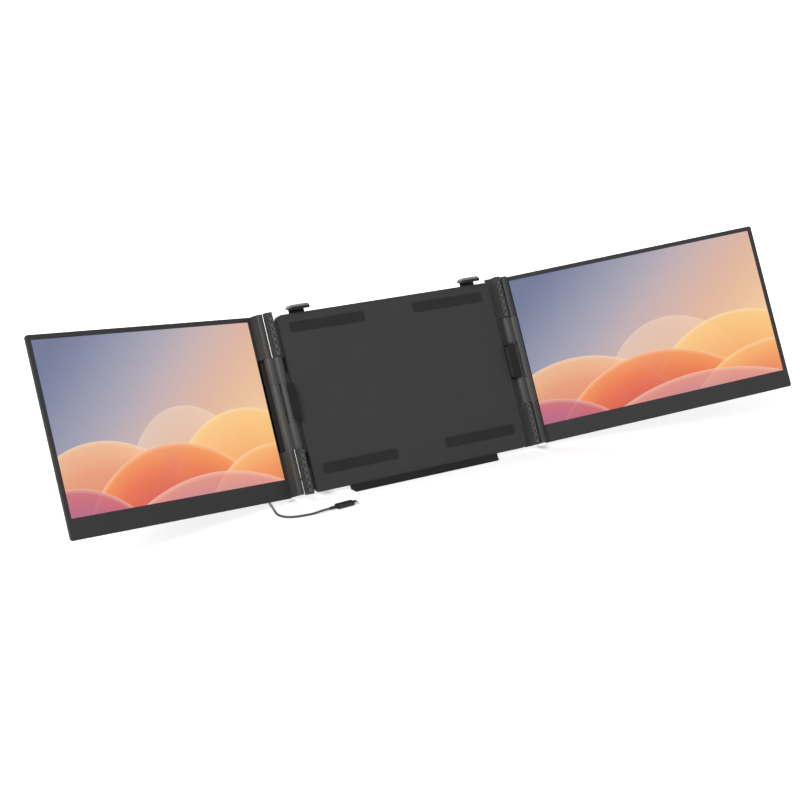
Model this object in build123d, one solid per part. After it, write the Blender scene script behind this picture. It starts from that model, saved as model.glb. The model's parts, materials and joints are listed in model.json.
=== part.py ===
"""Laptop screen extender: a leaning frame behind the laptop lid carries two folding screens.

Everything is drawn upright first: x to the right, y backwards from the lid's face, z up along the
lid, with y = 0 on the lid's face. The finished pieces are then leaned back and stood on the table.
Right-hand pieces are drawn with x outwards; left-hand pieces are their mirror images.
"""
from build123d import *
import math
import os

# ---------------------------------------------------------------- driving dimensions (mm, degrees)
LEAN = 25.0                   # the frame leans back this far from the vertical
FRAME_LIFT = 6.8              # table to the middle of the frame's bottom edge
RIGHT_FOLD = 19.0             # each screen is folded forwards this far at rest
LEFT_FOLD = 20.0

# screens
DISPLAY_WIDTH = 381.9         # lit area of a 17.3-inch 16:9 panel
DISPLAY_HEIGHT = 214.8
DISPLAY_CENTRE_Z = 2.3
SIDE_BORDER = 6.5
TOP_BORDER = 6.4
CHIN = 25.8
HINGE_BORDER = 5.5
SCREEN_CORNER = 3.0
BEZEL_THICKNESS = 1.0
SCREEN_THICKNESS = 5.3
SCREEN_WALL = 1.5
COVER_WALL = 1.3
COVER_TAPER_INSET = 1.3        # sloped rim round the cover's back, seen from behind
COVER_TAPER_DEPTH = 2.6        # the same rim, seen from the side
PANEL_THICKNESS = 1.4
PANEL_EDGE = 1.2              # glass beyond the lit area on the hinge side
PANEL_MARGIN = 2.0            # glass beyond the lit area at the far side and the top
PANEL_FOOT = 8.0              # glass beyond the lit area at the bottom
BACKLIGHT_THICKNESS = 1.4
BULGE_DEPTH = 5.2
BULGE_WIDTH = 125.0
BULGE_INSET = 11.6            # bulge from the screen's top and bottom edges
BULGE_CORNER = 5.0
VENT_COUNT = 9                # slots in the bulge's back
VENT_WIDTH = 1.6
VENT_LENGTH = 18.0
VENT_PITCH = 5.0
VENT_DROP = 14.0              # first slot below the bulge's top

# hinges
AXIS_Y = 6.0                  # both hinge axes stand this far behind the lid's face
HINGE_PITCH = 13.0
KNUCKLE_RADIUS = 5.4
KNUCKLE_RAISE = 1.3           # knuckles' lower end above the screen's bottom edge
LINK_RADIUS = 6.4
LINK_WEB = 7.4
LINK_LENGTH = 125.0
LINK_CENTRE_Z = -6.5
LINK_SEAM = 0.5
WASHER_RADIUS = 4.0
WASHER_PLAY = 0.1
SHAFT_RADIUS = 2.0
SHAFT_CLEARANCE = 0.05
SHAFT_GRIP = 22.0             # length of shaft in each hinge half
SCREEN_SETBACK = 10.3         # screen face behind its hinge axis
EDGE_SETOUT = 5.7             # screen edge from its hinge axis
RECESS_WIDTH = 2.5            # dark recess beside the link
RECESS_DEPTH = 4.0
BRACKET_WEB_FRONT = 12.3
LEAF_LENGTH = 39.0
LEAF_THICKNESS = 1.5
LEAF_INSET = 4.0

# columns
COLUMN_RISE = 1.0             # column above the screens' top edge
COLUMN_RAISE = 0.2            # column above the screens' bottom edge
BLOCK_INNER = 5.6             # block's front from the column axis, towards the lid
BLOCK_OUTER = 4.2
COVER_PLATE = 0.8
SPINE_GAP = 2.0               # spine's inner edge beyond the frame's edge
SPINE_SETBACK = 1.5           # spine's outer edge inside the column axis
SPINE_FRONT_Y = 12.8
SPINE_DEPTH = 4.2
ARM_HEIGHT = 20.0
ARM_THICKNESS = 2.0
ARM_SETBACK = 0.1             # arm behind the spine's front face
ARM_POCKET = 8.0
ARM_REACH = 83.0              # arm inwards from the spine
ARM_DROP = 67.0               # upper arm's middle below the frame's top
ARM_RISE = 45.5               # lower arm's middle above the frame's bottom
ARM_CLEARANCE = 0.25

# lid jaws
LID_OVERHANG = 3.8            # lid's side edge beyond the frame's
LID_RISE = 4.5                # lid's top edge above the frame's
LID_THICKNESS = 6.0
JAW_PAD = 1.2
JAW_WALL = 2.6
JAW_CLEARANCE = 0.5           # link beside the jaw's wall
JAW_LIP = 1.5
JAW_BITE = 1.8                # lip over the lid's edge
JAW_LIP_WIDTH = 12.0
JAW_HEIGHT = 50.0
JAW_CORNER = 3.0
LIP_PAD = 0.6
LIP_GAP = 0.2                 # lip pad in front of the lid's face
NOTCH_PLAY = 0.4              # swinging link beside the jaw's lip
NOTCH_CLEARANCE = 1.5

# frame
FRAME_HALF_WIDTH = 176.0
FRAME_DROP = 4.1              # frame's top edge below the screens'
FRAME_RAISE = 0.4             # frame's bottom edge above the screens'
FRAME_CORNER = 8.0
FRONT_PAD = 1.0
FRONT_PLATE = 2.0
SHELL_DEPTH = 8.0
SHELL_WALL = 1.6
GUIDE_INSET = 4.0             # guides inside the frame's edge
GUIDE_LENGTH = 72.0
GUIDE_WALL = 1.3
PAD_LENGTH = 120.0
PAD_WIDTH = 14.0
PAD_DROP = 12.0               # upper pads below the frame's top
PAD_RAISE = 22.0              # lower pads above the frame's bottom
PAD_CORNER = 4.0
SCREW_INSET = 12.0            # screws from the frame's top and bottom
SCREW_BESIDE = 20.0           # screws beside the kickstand
SIDE_SCREW_Z = -10.0
FRAME_SCREW_RADIUS = 1.25
FRAME_SCREW_HEAD = 2.6
FRAME_BOSS_RADIUS = 3.4
SCREW_HEAD_DEPTH = 1.0

# top clips
CLIP_INSET = 34.0             # clip's middle inside the frame's edge
CLIP_WIDTH = 30.5
CLIP_STEM_WIDTH = 24.0
CLIP_STEM = 2.0
CLIP_STEM_LENGTH = 45.0
CLIP_TONGUE = 5.2
CLIP_LIP_DROP = 2.6
CLIP_ROUND = 4.4              # nose over the lid's front
CLIP_BACK_ROUND = 2.0
CLIP_CORNER = 2.4
CLIP_CLEARANCE = 0.3

# kickstand
KICK_DROP = 57.5              # hinge axis below the frame's top
KICK_MARGIN = 7.0             # leg's end above the frame's bottom
KICK_WIDTH = 120.0
KICK_THICKNESS = 3.0
KICK_CORNER = 10.0
KICK_CLEARANCE = 0.4
KICK_HEADROOM = 5.0
KICK_PIN_RADIUS = 1.0
KICK_FOOT_RADIUS = 1.6
KICK_FOOT_LENGTH = 96.0
KICK_BRACKET = 8.0
SCOOP_RISE = 34.0             # finger scoops above the leg's end

# foot strip
FOOT_HALF_LENGTH = 120.0
FOOT_FRONT_Y = 5.0

# screen electronics
BOARD_INSET = 46.3            # board's inner edge from the screen's
BOARD_THICKNESS = 1.2
BOARD_HEIGHT = 136.0
BOARD_RISE = 9.3              # board above the bulge's lower edge
MAIN_CHIP = 14.0
SIDE_CHIP = 10.0
SMALL_CHIP = 8.0
CHIP_HEIGHT = 1.2
CHIP_PITCH = 23.0
CHIP_RISE = 90.0              # chips' row above the board's lower edge
SWITCH_WIDTH = 5.0
BUTTON_INSET = 20.7           # buttons from the bulge's outer side
POWER_RISE = 19.3             # power button above the bulge's lower edge
BUTTON_PITCH = 18.0
BUTTON_RADIUS = 3.5
BUTTON_FLANGE = 1.0
BUTTON_PROUD = 0.6
BUTTON_CLEARANCE = 0.25
BUTTON_TRAVEL = 0.5
MENU_LENGTH = 12.0
MENU_RADIUS = 2.45
USB_RISE = 50.0               # ports above the board's lower edge
DISPLAY_RISE = 68.0
SCREW_RADIUS = 1.1
SCREW_HEAD = 2.2
SCREW_HEAD_THICKNESS = 0.7
SCREW_INSET_X = 12.0

# USB-C port, plugs and cable
PORT_WIDTH = 8.9
DISPLAY_PORT_WIDTH = 11.2
PORT_HEIGHT = 3.2
PORT_LENGTH = 9.0
PORT_WALL = 0.25
PORT_INSET = 26.0             # frame's port from the frame's edge
PORT_RISE = 18.5              # frame's port above the frame's bottom
HUB_WIDTH = 50.0
HUB_HEIGHT = 22.0
HUB_CHIP = 9.0
HUB_CHIP_PITCH = 15.0
PLUG_WIDTH = 11.0
PLUG_HEIGHT = 6.6
PLUG_LENGTH = 26.5
PLUG_GAP = 0.5
TONGUE_WIDTH = 8.3
TONGUE_HEIGHT = 2.4
TONGUE_LENGTH = 6.5
RELIEF_LENGTH = 11.0
RELIEF_RADIUS = 2.7
RELIEF_TIP = 0.4              # relief's narrow end beyond the cable
CABLE_RADIUS = 1.5
LOOSE_PLUG_TURN = 5.0         # the loose plug is turned this far from the x axis
LOOSE_PLUG_END = (-188.0, -53.0)
LOOSE_RUN = 13.0              # straight cable behind the loose plug
# where the cable lies on the table between its two ends (x, y, standing)
CABLE_ON_TABLE = (
    (-154.0, 69.8), (-164.0, 80.5), (-178.5, 84.5), (-193.0, 81.0), (-205.5, 72.0), (-216.0, 60.0),
    (-225.5, 45.5), (-234.0, 30.0), (-240.5, 13.5), (-245.5, -2.5), (-251.2, -18.2), (-255.4, -32.5),
    (-251.8, -44.8), (-240.5, -51.5), (-226.5, -53.6), (-213.0, -54.4),
)

# ---------------------------------------------------------------- places worked out from them
DISPLAY_X0 = EDGE_SETOUT + HINGE_BORDER
DISPLAY_X1 = DISPLAY_X0 + DISPLAY_WIDTH
SCREEN_X1 = DISPLAY_X1 + SIDE_BORDER
DISPLAY_Z0 = DISPLAY_CENTRE_Z - DISPLAY_HEIGHT / 2
DISPLAY_Z1 = DISPLAY_CENTRE_Z + DISPLAY_HEIGHT / 2
SCREEN_Z0 = DISPLAY_Z0 - CHIN
SCREEN_Z1 = DISPLAY_Z1 + TOP_BORDER
FACE_Y = SCREEN_SETBACK
BEZEL_BACK_Y = FACE_Y + BEZEL_THICKNESS
PANEL_BACK_Y = BEZEL_BACK_Y + PANEL_THICKNESS
BACKLIGHT_BACK_Y = PANEL_BACK_Y + BACKLIGHT_THICKNESS
SCREEN_BACK_Y = FACE_Y + SCREEN_THICKNESS
BULGE_BACK_Y = SCREEN_BACK_Y + BULGE_DEPTH
BULGE_CEILING_Y = BULGE_BACK_Y - COVER_WALL
BULGE_X1 = EDGE_SETOUT + BULGE_WIDTH
BULGE_Z0 = SCREEN_Z0 + BULGE_INSET
BULGE_Z1 = SCREEN_Z1 - BULGE_INSET
BOARD_X0 = EDGE_SETOUT + BOARD_INSET
BOARD_Z0 = BULGE_Z0 + BOARD_RISE
BUTTON_X = BULGE_X1 - BUTTON_INSET
POWER_Z = BULGE_Z0 + POWER_RISE
MENU_Z = POWER_Z + BUTTON_PITCH

FRAME_TOP_Z = SCREEN_Z1 - FRAME_DROP
FRAME_BOTTOM_Z = SCREEN_Z0 + FRAME_RAISE
PORT_X = PORT_INSET - FRAME_HALF_WIDTH
PORT_Z = FRAME_BOTTOM_Z + PORT_RISE
CLIP_X = FRAME_HALF_WIDTH - CLIP_INSET
GUIDE_OUTER_X = FRAME_HALF_WIDTH - GUIDE_INSET
GUIDE_INNER_X = GUIDE_OUTER_X - GUIDE_LENGTH
LID_HALF_WIDTH = FRAME_HALF_WIDTH + LID_OVERHANG
LID_TOP_Z = FRAME_TOP_Z + LID_RISE

LIP_BACK_Y = -LIP_GAP - LIP_PAD
LIP_FRONT_Y = LIP_BACK_Y - JAW_LIP
JAW_WALL_X0 = LID_HALF_WIDTH + JAW_PAD
JAW_WALL_X1 = JAW_WALL_X0 + JAW_WALL
JAW_LIP_X0 = LID_HALF_WIDTH - JAW_BITE
JAW_Z0 = LINK_CENTRE_Z - JAW_HEIGHT / 2
JAW_Z1 = LINK_CENTRE_Z + JAW_HEIGHT / 2
COLUMN_AXIS_X = JAW_WALL_X1 + JAW_CLEARANCE + LINK_RADIUS
SCREEN_AXIS_X = COLUMN_AXIS_X + HINGE_PITCH
LIP_DEPTH = AXIS_Y - LIP_FRONT_Y
# the notch is a cylinder round the column axis that clears the corner where the screen-side lobe,
# swung forwards, meets the front of the jaw's lip
NOTCH_RADIUS = NOTCH_PLAY + math.sqrt(LINK_RADIUS ** 2 - (HINGE_PITCH - LIP_DEPTH) ** 2 + LIP_DEPTH ** 2)

COLUMN_Z0 = SCREEN_Z0 + COLUMN_RAISE
COLUMN_Z1 = SCREEN_Z1 + COLUMN_RISE
LINK_Z0 = LINK_CENTRE_Z - LINK_LENGTH / 2
LINK_Z1 = LINK_CENTRE_Z + LINK_LENGTH / 2
UPPER_Z0 = LINK_Z1 + LINK_SEAM
LOWER_Z1 = LINK_Z0 - LINK_SEAM
SPINE_INNER_X = FRAME_HALF_WIDTH + SPINE_GAP
SPINE_OUTER_X = COLUMN_AXIS_X - SPINE_SETBACK
SPINE_BACK_Y = SPINE_FRONT_Y + SPINE_DEPTH
ARM_FRONT_Y = SPINE_FRONT_Y + ARM_SETBACK
BLOCK_FRONT_Y = AXIS_Y - KNUCKLE_RADIUS - COVER_PLATE
ARM_INNER_X = SPINE_INNER_X - ARM_REACH
ARM_LEVELS = (FRAME_TOP_Z - ARM_DROP, FRAME_BOTTOM_Z + ARM_RISE)

PLATE_FRONT_Y = LID_THICKNESS + FRONT_PAD
PLATE_BACK_Y = PLATE_FRONT_Y + FRONT_PLATE
SHELL_BACK_Y = PLATE_BACK_Y + SHELL_DEPTH
SHELL_INNER_Y = SHELL_BACK_Y - SHELL_WALL
FRAME_MIDDLE_Y = (PLATE_FRONT_Y + SHELL_BACK_Y) / 2

KICK_AXIS_Z = FRAME_TOP_Z - KICK_DROP
KICK_LENGTH = KICK_AXIS_Z - FRAME_BOTTOM_Z - KICK_MARGIN
KICK_AXIS_Y = SHELL_BACK_Y - KICK_FOOT_RADIUS
KICK_FLOOR_Y = KICK_AXIS_Y - KICK_FOOT_RADIUS - KICK_CLEARANCE / 2
KICK_AXIS_HEIGHT = (FRAME_LIFT + (KICK_AXIS_Z - FRAME_BOTTOM_Z) * math.cos(math.radians(LEAN))
                    - (KICK_AXIS_Y - FRAME_MIDDLE_Y) * math.sin(math.radians(LEAN)))
TONGUE_INSERT = TONGUE_LENGTH - PLUG_GAP
KICK_SPREAD = LEAN + math.degrees(math.acos((KICK_AXIS_HEIGHT - KICK_FOOT_RADIUS) / KICK_LENGTH))


# ---------------------------------------------------------------- helpers
def brick(xs, ys, zs):
    """Box between three pairs of limits."""
    middle = [(low + high) / 2 for low, high in (xs, ys, zs)]
    size = [high - low for low, high in (xs, ys, zs)]
    return Pos(*middle) * Box(*size)


def plate(xs, ys, zs, corner):
    """Box whose four edges along y are rounded."""
    return fillet(brick(xs, ys, zs).edges().filter_by(Axis.Y), corner)


def rod(x, y, zs, radius):
    """Cylinder along z."""
    return Pos(x, y, (zs[0] + zs[1]) / 2) * Cylinder(radius, zs[1] - zs[0])


def stud(x, z, ys, radius):
    """Cylinder along y."""
    return Pos(x, (ys[0] + ys[1]) / 2, z) * Rot(90, 0, 0) * Cylinder(radius, ys[1] - ys[0])


def axle(y, z, xs, radius):
    """Cylinder along x."""
    return Pos((xs[0] + xs[1]) / 2, y, z) * Rot(0, 90, 0) * Cylinder(radius, xs[1] - xs[0])


def group(*solids):
    """Several separate solids in one node."""
    return Compound(list(solids))


def around(middle, size):
    """Limits of a length centred on a place."""
    return middle - size / 2, middle + size / 2


def stand(shape):
    """Lean an upright piece back and stand it on the table."""
    return Pos(0, 0, FRAME_LIFT) * Rot(-LEAN, 0, 0) * Pos(0, -FRAME_MIDDLE_Y, -FRAME_BOTTOM_Z) * shape


def save(name, shape):
    """Write one node's STEP file, each solid set down where it stands."""
    solids = shape.solids()
    export_step(solids[0] if len(solids) == 1 else Compound(list(solids)), f"parts/{name}.step")


def save_pair(name, right_shape):
    """Write a right-hand piece and its left-hand mirror image."""
    save(f"right_{name}", stand(right_shape))
    save(f"left_{name}", stand(mirror(right_shape, about=Plane.YZ)))


def save_screen_pair(name, shape):
    """Hang a screen piece on both screen axes, folded as at rest."""
    at_axis = Pos(SCREEN_AXIS_X, AXIS_Y, 0)
    save(f"right_{name}", stand(at_axis * Rot(0, 0, -RIGHT_FOLD) * shape))
    save(f"left_{name}", stand(mirror(at_axis * Rot(0, 0, -LEFT_FOLD) * shape, about=Plane.YZ)))


# ---------------------------------------------------------------- frame
def frame_outline(ys, inset=0.0):
    """The frame's rounded outline as a plate, optionally smaller all round."""
    half = FRAME_HALF_WIDTH - inset
    return plate((-half, half), ys, (FRAME_BOTTOM_Z + inset, FRAME_TOP_Z - inset), FRAME_CORNER - inset)


def screw_places():
    """Frame screws on both sides: beside the kickstand at top and bottom, and at the frame's edge."""
    beside = KICK_WIDTH / 2 + SCREW_BESIDE
    places = ((beside, FRAME_TOP_Z - SCREW_INSET), (beside, FRAME_BOTTOM_Z + SCREW_INSET),
              (FRAME_HALF_WIDTH - FRAME_CORNER, SIDE_SCREW_Z))
    return [(side * x, z) for x, z in places for side in (-1, 1)]


def frame_screw(x, z):
    """Screw from the frame's back into its front plate."""
    shank_end = PLATE_BACK_Y - FRONT_PLATE / 2
    head_y = SHELL_BACK_Y - SCREW_HEAD_DEPTH
    shank = stud(x, z, (shank_end, head_y), FRAME_SCREW_RADIUS)
    return shank + stud(x, z, (head_y, SHELL_BACK_Y), FRAME_SCREW_HEAD)


def frame_front_plate():
    """Plate behind the lid, with blind holes for the screws."""
    body = frame_outline((PLATE_FRONT_Y, PLATE_BACK_Y))
    for x, z in screw_places():
        body -= frame_screw(x, z)
    return body


def arm_limits(level, extra=0.0):
    """Depth and height limits of one arm, with a clearance."""
    return ((ARM_FRONT_Y - extra, ARM_FRONT_Y + ARM_THICKNESS + extra),
            (level - ARM_HEIGHT / 2 - extra, level + ARM_HEIGHT / 2 + extra))


def clip_stem_limits(extra=0.0):
    """Depth and height limits of a top clip's stem, with a clearance."""
    y0 = PLATE_BACK_Y + CLIP_CLEARANCE
    z1 = LID_TOP_Z + JAW_PAD
    return (y0 - extra, y0 + CLIP_STEM + extra), (z1 - CLIP_STEM_LENGTH, z1)


def kick_recess():
    """Room for the closed kickstand and for its two hinge blocks."""
    z0 = KICK_AXIS_Z - KICK_LENGTH - KICK_FOOT_RADIUS - 2 * KICK_CLEARANCE
    ys = (KICK_FLOOR_Y, SHELL_BACK_Y)
    room = brick(around(0, KICK_WIDTH + 2 * KICK_CLEARANCE), ys, (z0, KICK_AXIS_Z + KICK_HEADROOM))
    blocks = brick(around(0, KICK_WIDTH + 2 * (KICK_CLEARANCE + KICK_BRACKET)), ys,
                   around(KICK_AXIS_Z, 2 * KICK_HEADROOM))
    return room + blocks


def finger_scoops():
    """Two round scoops beside the closed leg, to lift it by."""
    z = KICK_AXIS_Z - KICK_LENGTH + SCOOP_RISE
    scoops = [stud(side * (KICK_WIDTH / 2 + KICK_CLEARANCE), z, (KICK_FLOOR_Y, SHELL_BACK_Y), KICK_BRACKET)
              for side in (-1, 1)]
    return scoops[0] + scoops[1]


def kick_tub():
    """Walls round the kickstand's recess, inside the shell."""
    z0 = KICK_AXIS_Z - KICK_LENGTH - KICK_FOOT_RADIUS - 2 * KICK_CLEARANCE - SHELL_WALL
    z1 = KICK_AXIS_Z + KICK_HEADROOM + SHELL_WALL
    ys = (KICK_FLOOR_Y - SHELL_WALL, SHELL_INNER_Y)
    half = KICK_WIDTH / 2 + KICK_CLEARANCE + KICK_BRACKET + SHELL_WALL
    return brick((-half, half), ys, (z0, z1))


def frame_rear_shell():
    """Tub that closes the frame's back, with the kickstand's recess."""
    body = frame_outline((PLATE_BACK_Y, SHELL_BACK_Y))
    body -= frame_outline((PLATE_BACK_Y, SHELL_INNER_Y), SHELL_WALL)
    body += kick_tub()
    body -= kick_recess()
    body -= finger_scoops()
    stem_ys, stem_zs = clip_stem_limits(CLIP_CLEARANCE)
    rib_zs = (FRAME_TOP_Z - CLIP_STEM_LENGTH + SHELL_WALL, FRAME_TOP_Z - SHELL_WALL / 2)
    for side in (-1, 1):
        for edge in (-1, 1):
            rib_x = side * CLIP_X + edge * (CLIP_STEM_WIDTH / 2 + CLIP_CLEARANCE + SHELL_WALL / 2)
            body += brick(around(rib_x, SHELL_WALL), (PLATE_BACK_Y, SHELL_INNER_Y), rib_zs)
        body += brick(around(side * CLIP_X, CLIP_STEM_WIDTH), (stem_ys[1], SHELL_INNER_Y), rib_zs)
        body -= brick(around(side * CLIP_X, CLIP_STEM_WIDTH + 2 * CLIP_CLEARANCE), stem_ys, stem_zs)
        for level in ARM_LEVELS:
            ys, zs = arm_limits(level, ARM_CLEARANCE)
            wall_xs = sorted((side * (FRAME_HALF_WIDTH + SHELL_WALL), side * GUIDE_OUTER_X))
            body -= brick(wall_xs, ys, zs)
    for x, z in screw_places():
        body += stud(x, z, (PLATE_BACK_Y, SHELL_INNER_Y), FRAME_BOSS_RADIUS)
        body -= frame_screw(x, z)
    opening = around(PORT_X, PORT_WIDTH + 2 * PORT_WALL), around(PORT_Z, PORT_HEIGHT + 2 * PORT_WALL)
    body -= brick(opening[0], (SHELL_INNER_Y, SHELL_BACK_Y), opening[1])
    return body


def arm_guides():
    """Four channels in which the columns' arms slide."""
    guides = []
    for side in (-1, 1):
        xs = sorted((side * GUIDE_INNER_X, side * GUIDE_OUTER_X))
        for level in ARM_LEVELS:
            slot_ys, slot_zs = arm_limits(level, ARM_CLEARANCE)
            outer_zs = (slot_zs[0] - GUIDE_WALL, slot_zs[1] + GUIDE_WALL)
            channel = brick(xs, (slot_ys[0] - GUIDE_WALL, SHELL_INNER_Y), outer_zs)
            guides.append(channel - brick(xs, slot_ys, slot_zs))
    return group(*guides)


def front_pads():
    """Soft strips on which the lid's back lies."""
    ys = (LID_THICKNESS, PLATE_FRONT_Y)
    half = FRAME_HALF_WIDTH - 2 * FRAME_CORNER
    pads = []
    for low in (FRAME_TOP_Z - PAD_DROP - PAD_WIDTH, FRAME_BOTTOM_Z + PAD_RAISE):
        for side in (-1, 1):
            xs = sorted((side * half, side * (half - PAD_LENGTH)))
            pads.append(plate(xs, ys, (low, low + PAD_WIDTH), PAD_CORNER))
    return group(*pads)


def table_z(y):
    """Height, in the upright drawing, at which a line along z meets the table."""
    lean = math.radians(LEAN)
    return FRAME_BOTTOM_Z + ((y - FRAME_MIDDLE_Y) * math.sin(lean) - FRAME_LIFT) / math.cos(lean)


def foot_strip():
    """Rubber strip under the frame, cut flat for the table."""
    back_y = SHELL_BACK_Y
    section = Polyline((FOOT_FRONT_Y, table_z(FOOT_FRONT_Y)), (FOOT_FRONT_Y, FRAME_BOTTOM_Z),
                       (back_y, FRAME_BOTTOM_Z), (back_y, table_z(back_y)), close=True)
    face = Plane.YZ * make_face(section)
    return extrude(face, FOOT_HALF_LENGTH, both=True)


def hub_board():
    """Board behind the frame's port, with its two chips."""
    y0 = PLATE_BACK_Y + CLIP_CLEARANCE
    y1 = y0 + BOARD_THICKNESS
    board = brick(around(PORT_X + HUB_WIDTH / 4, HUB_WIDTH), (y0, y1), around(PORT_Z, HUB_HEIGHT))
    chips = [brick(around(PORT_X + place * HUB_CHIP_PITCH, HUB_CHIP), (y1, y1 + CHIP_HEIGHT),
                   around(PORT_Z, HUB_CHIP)) for place in (1, 2)]
    return group(board, *chips)


def port_shell(width, height, length):
    """Open metal shell of a port, its mouth at +y and its back at y = 0."""
    shell = brick(around(0, width), (0, length), around(0, height))
    shell = fillet(shell.edges().filter_by(Axis.Y), height * 0.4)
    hollow = brick(around(0, width - 2 * PORT_WALL), (length - TONGUE_INSERT - PORT_WALL, length),
                   around(0, height - 2 * PORT_WALL))
    return shell - fillet(hollow.edges().filter_by(Axis.Y), (height - 2 * PORT_WALL) * 0.4)


def frame_usb_port():
    """USB-C port standing on the hub board, flush with the frame's back."""
    y0 = PLATE_BACK_Y + CLIP_CLEARANCE + BOARD_THICKNESS
    return Pos(PORT_X, y0, PORT_Z) * port_shell(PORT_WIDTH, PORT_HEIGHT, SHELL_BACK_Y - y0)


# ---------------------------------------------------------------- kickstand
def kick_open(shape):
    """Swing a closed kickstand piece open to where it stands at rest."""
    pivot = Pos(0, KICK_AXIS_Y, KICK_AXIS_Z)
    return pivot * Rot(KICK_SPREAD, 0, 0) * pivot.inverse() * shape


def kickstand_panel():
    """Leg plate, rounded round its hinge pin."""
    half_thickness = KICK_THICKNESS / 2
    z0 = KICK_AXIS_Z - KICK_LENGTH + half_thickness
    ys = around(KICK_AXIS_Y, KICK_THICKNESS)
    leg = brick(around(0, KICK_WIDTH), ys, (z0, KICK_AXIS_Z))
    low_corners = leg.edges().filter_by(Axis.Y).group_by(Axis.Z)[0]
    leg = fillet(low_corners, KICK_CORNER)
    leg += axle(KICK_AXIS_Y, KICK_AXIS_Z, around(0, KICK_WIDTH), half_thickness)
    return leg - axle(KICK_AXIS_Y, KICK_AXIS_Z, around(0, KICK_WIDTH), KICK_PIN_RADIUS + SHAFT_CLEARANCE)


def kickstand_foot():
    """Rubber bead along the leg's end."""
    bead = axle(KICK_AXIS_Y, KICK_AXIS_Z - KICK_LENGTH, around(0, KICK_FOOT_LENGTH), KICK_FOOT_RADIUS)
    z0 = KICK_AXIS_Z - KICK_LENGTH + KICK_THICKNESS / 2
    return bead - brick(around(0, KICK_WIDTH), around(KICK_AXIS_Y, KICK_THICKNESS), (z0, KICK_AXIS_Z))


def kickstand_hinges():
    """Two friction hinge blocks sunk in the shell, one at each end of the pin."""
    inner = KICK_WIDTH / 2 + KICK_CLEARANCE
    blocks = []
    for side in (-1, 1):
        xs = sorted((side * inner, side * (inner + KICK_BRACKET)))
        block = brick(xs, (KICK_FLOOR_Y, SHELL_BACK_Y), around(KICK_AXIS_Z, 2 * KICK_HEADROOM))
        blocks.append(block - axle(KICK_AXIS_Y, KICK_AXIS_Z, xs, KICK_PIN_RADIUS))
    return group(*blocks)


def kickstand_pin():
    """Pin through both blocks and the leg."""
    return axle(KICK_AXIS_Y, KICK_AXIS_Z, around(0, KICK_WIDTH + 2 * (KICK_CLEARANCE + KICK_BRACKET)),
                KICK_PIN_RADIUS)


# ---------------------------------------------------------------- top clips
def top_clip():
    """Hook that slides in the frame's top edge and reaches over the lid."""
    stem_ys, stem_zs = clip_stem_limits()
    stem = brick(around(CLIP_X, CLIP_STEM_WIDTH), stem_ys, stem_zs)
    xs = around(CLIP_X, CLIP_WIDTH)
    ys = (LIP_FRONT_Y, stem_ys[1])
    top_z = stem_zs[1] + CLIP_TONGUE
    tongue = brick(xs, ys, (stem_zs[1], top_z))
    for place, radius in ((0, CLIP_ROUND), (-1, CLIP_BACK_ROUND)):
        top_edges = tongue.edges().filter_by(Axis.X).group_by(Axis.Z)[-1].sort_by(Axis.Y)
        tongue = fillet(top_edges[place], radius)
    low_z = stem_zs[1] - CLIP_LIP_DROP
    lip = brick(xs, (LIP_FRONT_Y, LIP_BACK_Y), (low_z, stem_zs[1]))
    outline = brick(xs, ys, (low_z, top_z))
    outline = fillet(outline.edges().filter_by(Axis.Y).group_by(Axis.Z)[-1], CLIP_CORNER)
    return stem + ((tongue + lip) & outline)


def clip_pad():
    """Soft lining under the hook and behind its lip."""
    z1 = LID_TOP_Z + JAW_PAD
    xs = around(CLIP_X, CLIP_WIDTH)
    under = brick(xs, (LIP_BACK_Y, LID_THICKNESS), (LID_TOP_Z, z1))
    return under + brick(xs, (LIP_BACK_Y, -LIP_GAP), (z1 - CLIP_LIP_DROP, z1))


# ---------------------------------------------------------------- columns
def column_arms():
    """Two flat arms let into the spine."""
    arms = []
    for level in ARM_LEVELS:
        ys, zs = arm_limits(level)
        arms.append(brick((ARM_INNER_X, SPINE_INNER_X + ARM_POCKET), ys, zs))
    return group(*arms)


def column_spine():
    """Upright behind the hinge, with pockets for the arms."""
    xs = (SPINE_INNER_X, SPINE_OUTER_X)
    spine = brick(xs, (SPINE_FRONT_Y, SPINE_BACK_Y), (COLUMN_Z0, COLUMN_Z1))
    for level in ARM_LEVELS:
        ys, zs = arm_limits(level)
        spine -= brick((SPINE_INNER_X, SPINE_INNER_X + ARM_POCKET), ys, zs)
    return spine


def column_zones():
    """Height limits of the two blocks above and below the link."""
    return (UPPER_Z0, COLUMN_Z1), (COLUMN_Z0, LOWER_Z1)


def shaft_zones():
    """Height limits of the two hinge shafts on one axis."""
    return ((LINK_Z1 - SHAFT_GRIP, UPPER_Z0 + SHAFT_GRIP), (LOWER_Z1 - SHAFT_GRIP, LINK_Z0 + SHAFT_GRIP))


def column_blocks():
    """Two hinge blocks on the spine, each holding a shaft."""
    blocks = []
    x = COLUMN_AXIS_X
    for zs, shaft_zs in zip(column_zones(), shaft_zones()):
        block = rod(x, AXIS_Y, zs, KNUCKLE_RADIUS)
        block += brick((x - BLOCK_INNER, x + BLOCK_OUTER), (BLOCK_FRONT_Y + COVER_PLATE, AXIS_Y), zs)
        block += brick((x - BLOCK_INNER, SPINE_OUTER_X), (AXIS_Y, SPINE_FRONT_Y), zs)
        blocks.append(block - rod(x, AXIS_Y, shaft_zs, SHAFT_RADIUS))
    return group(*blocks)


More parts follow.
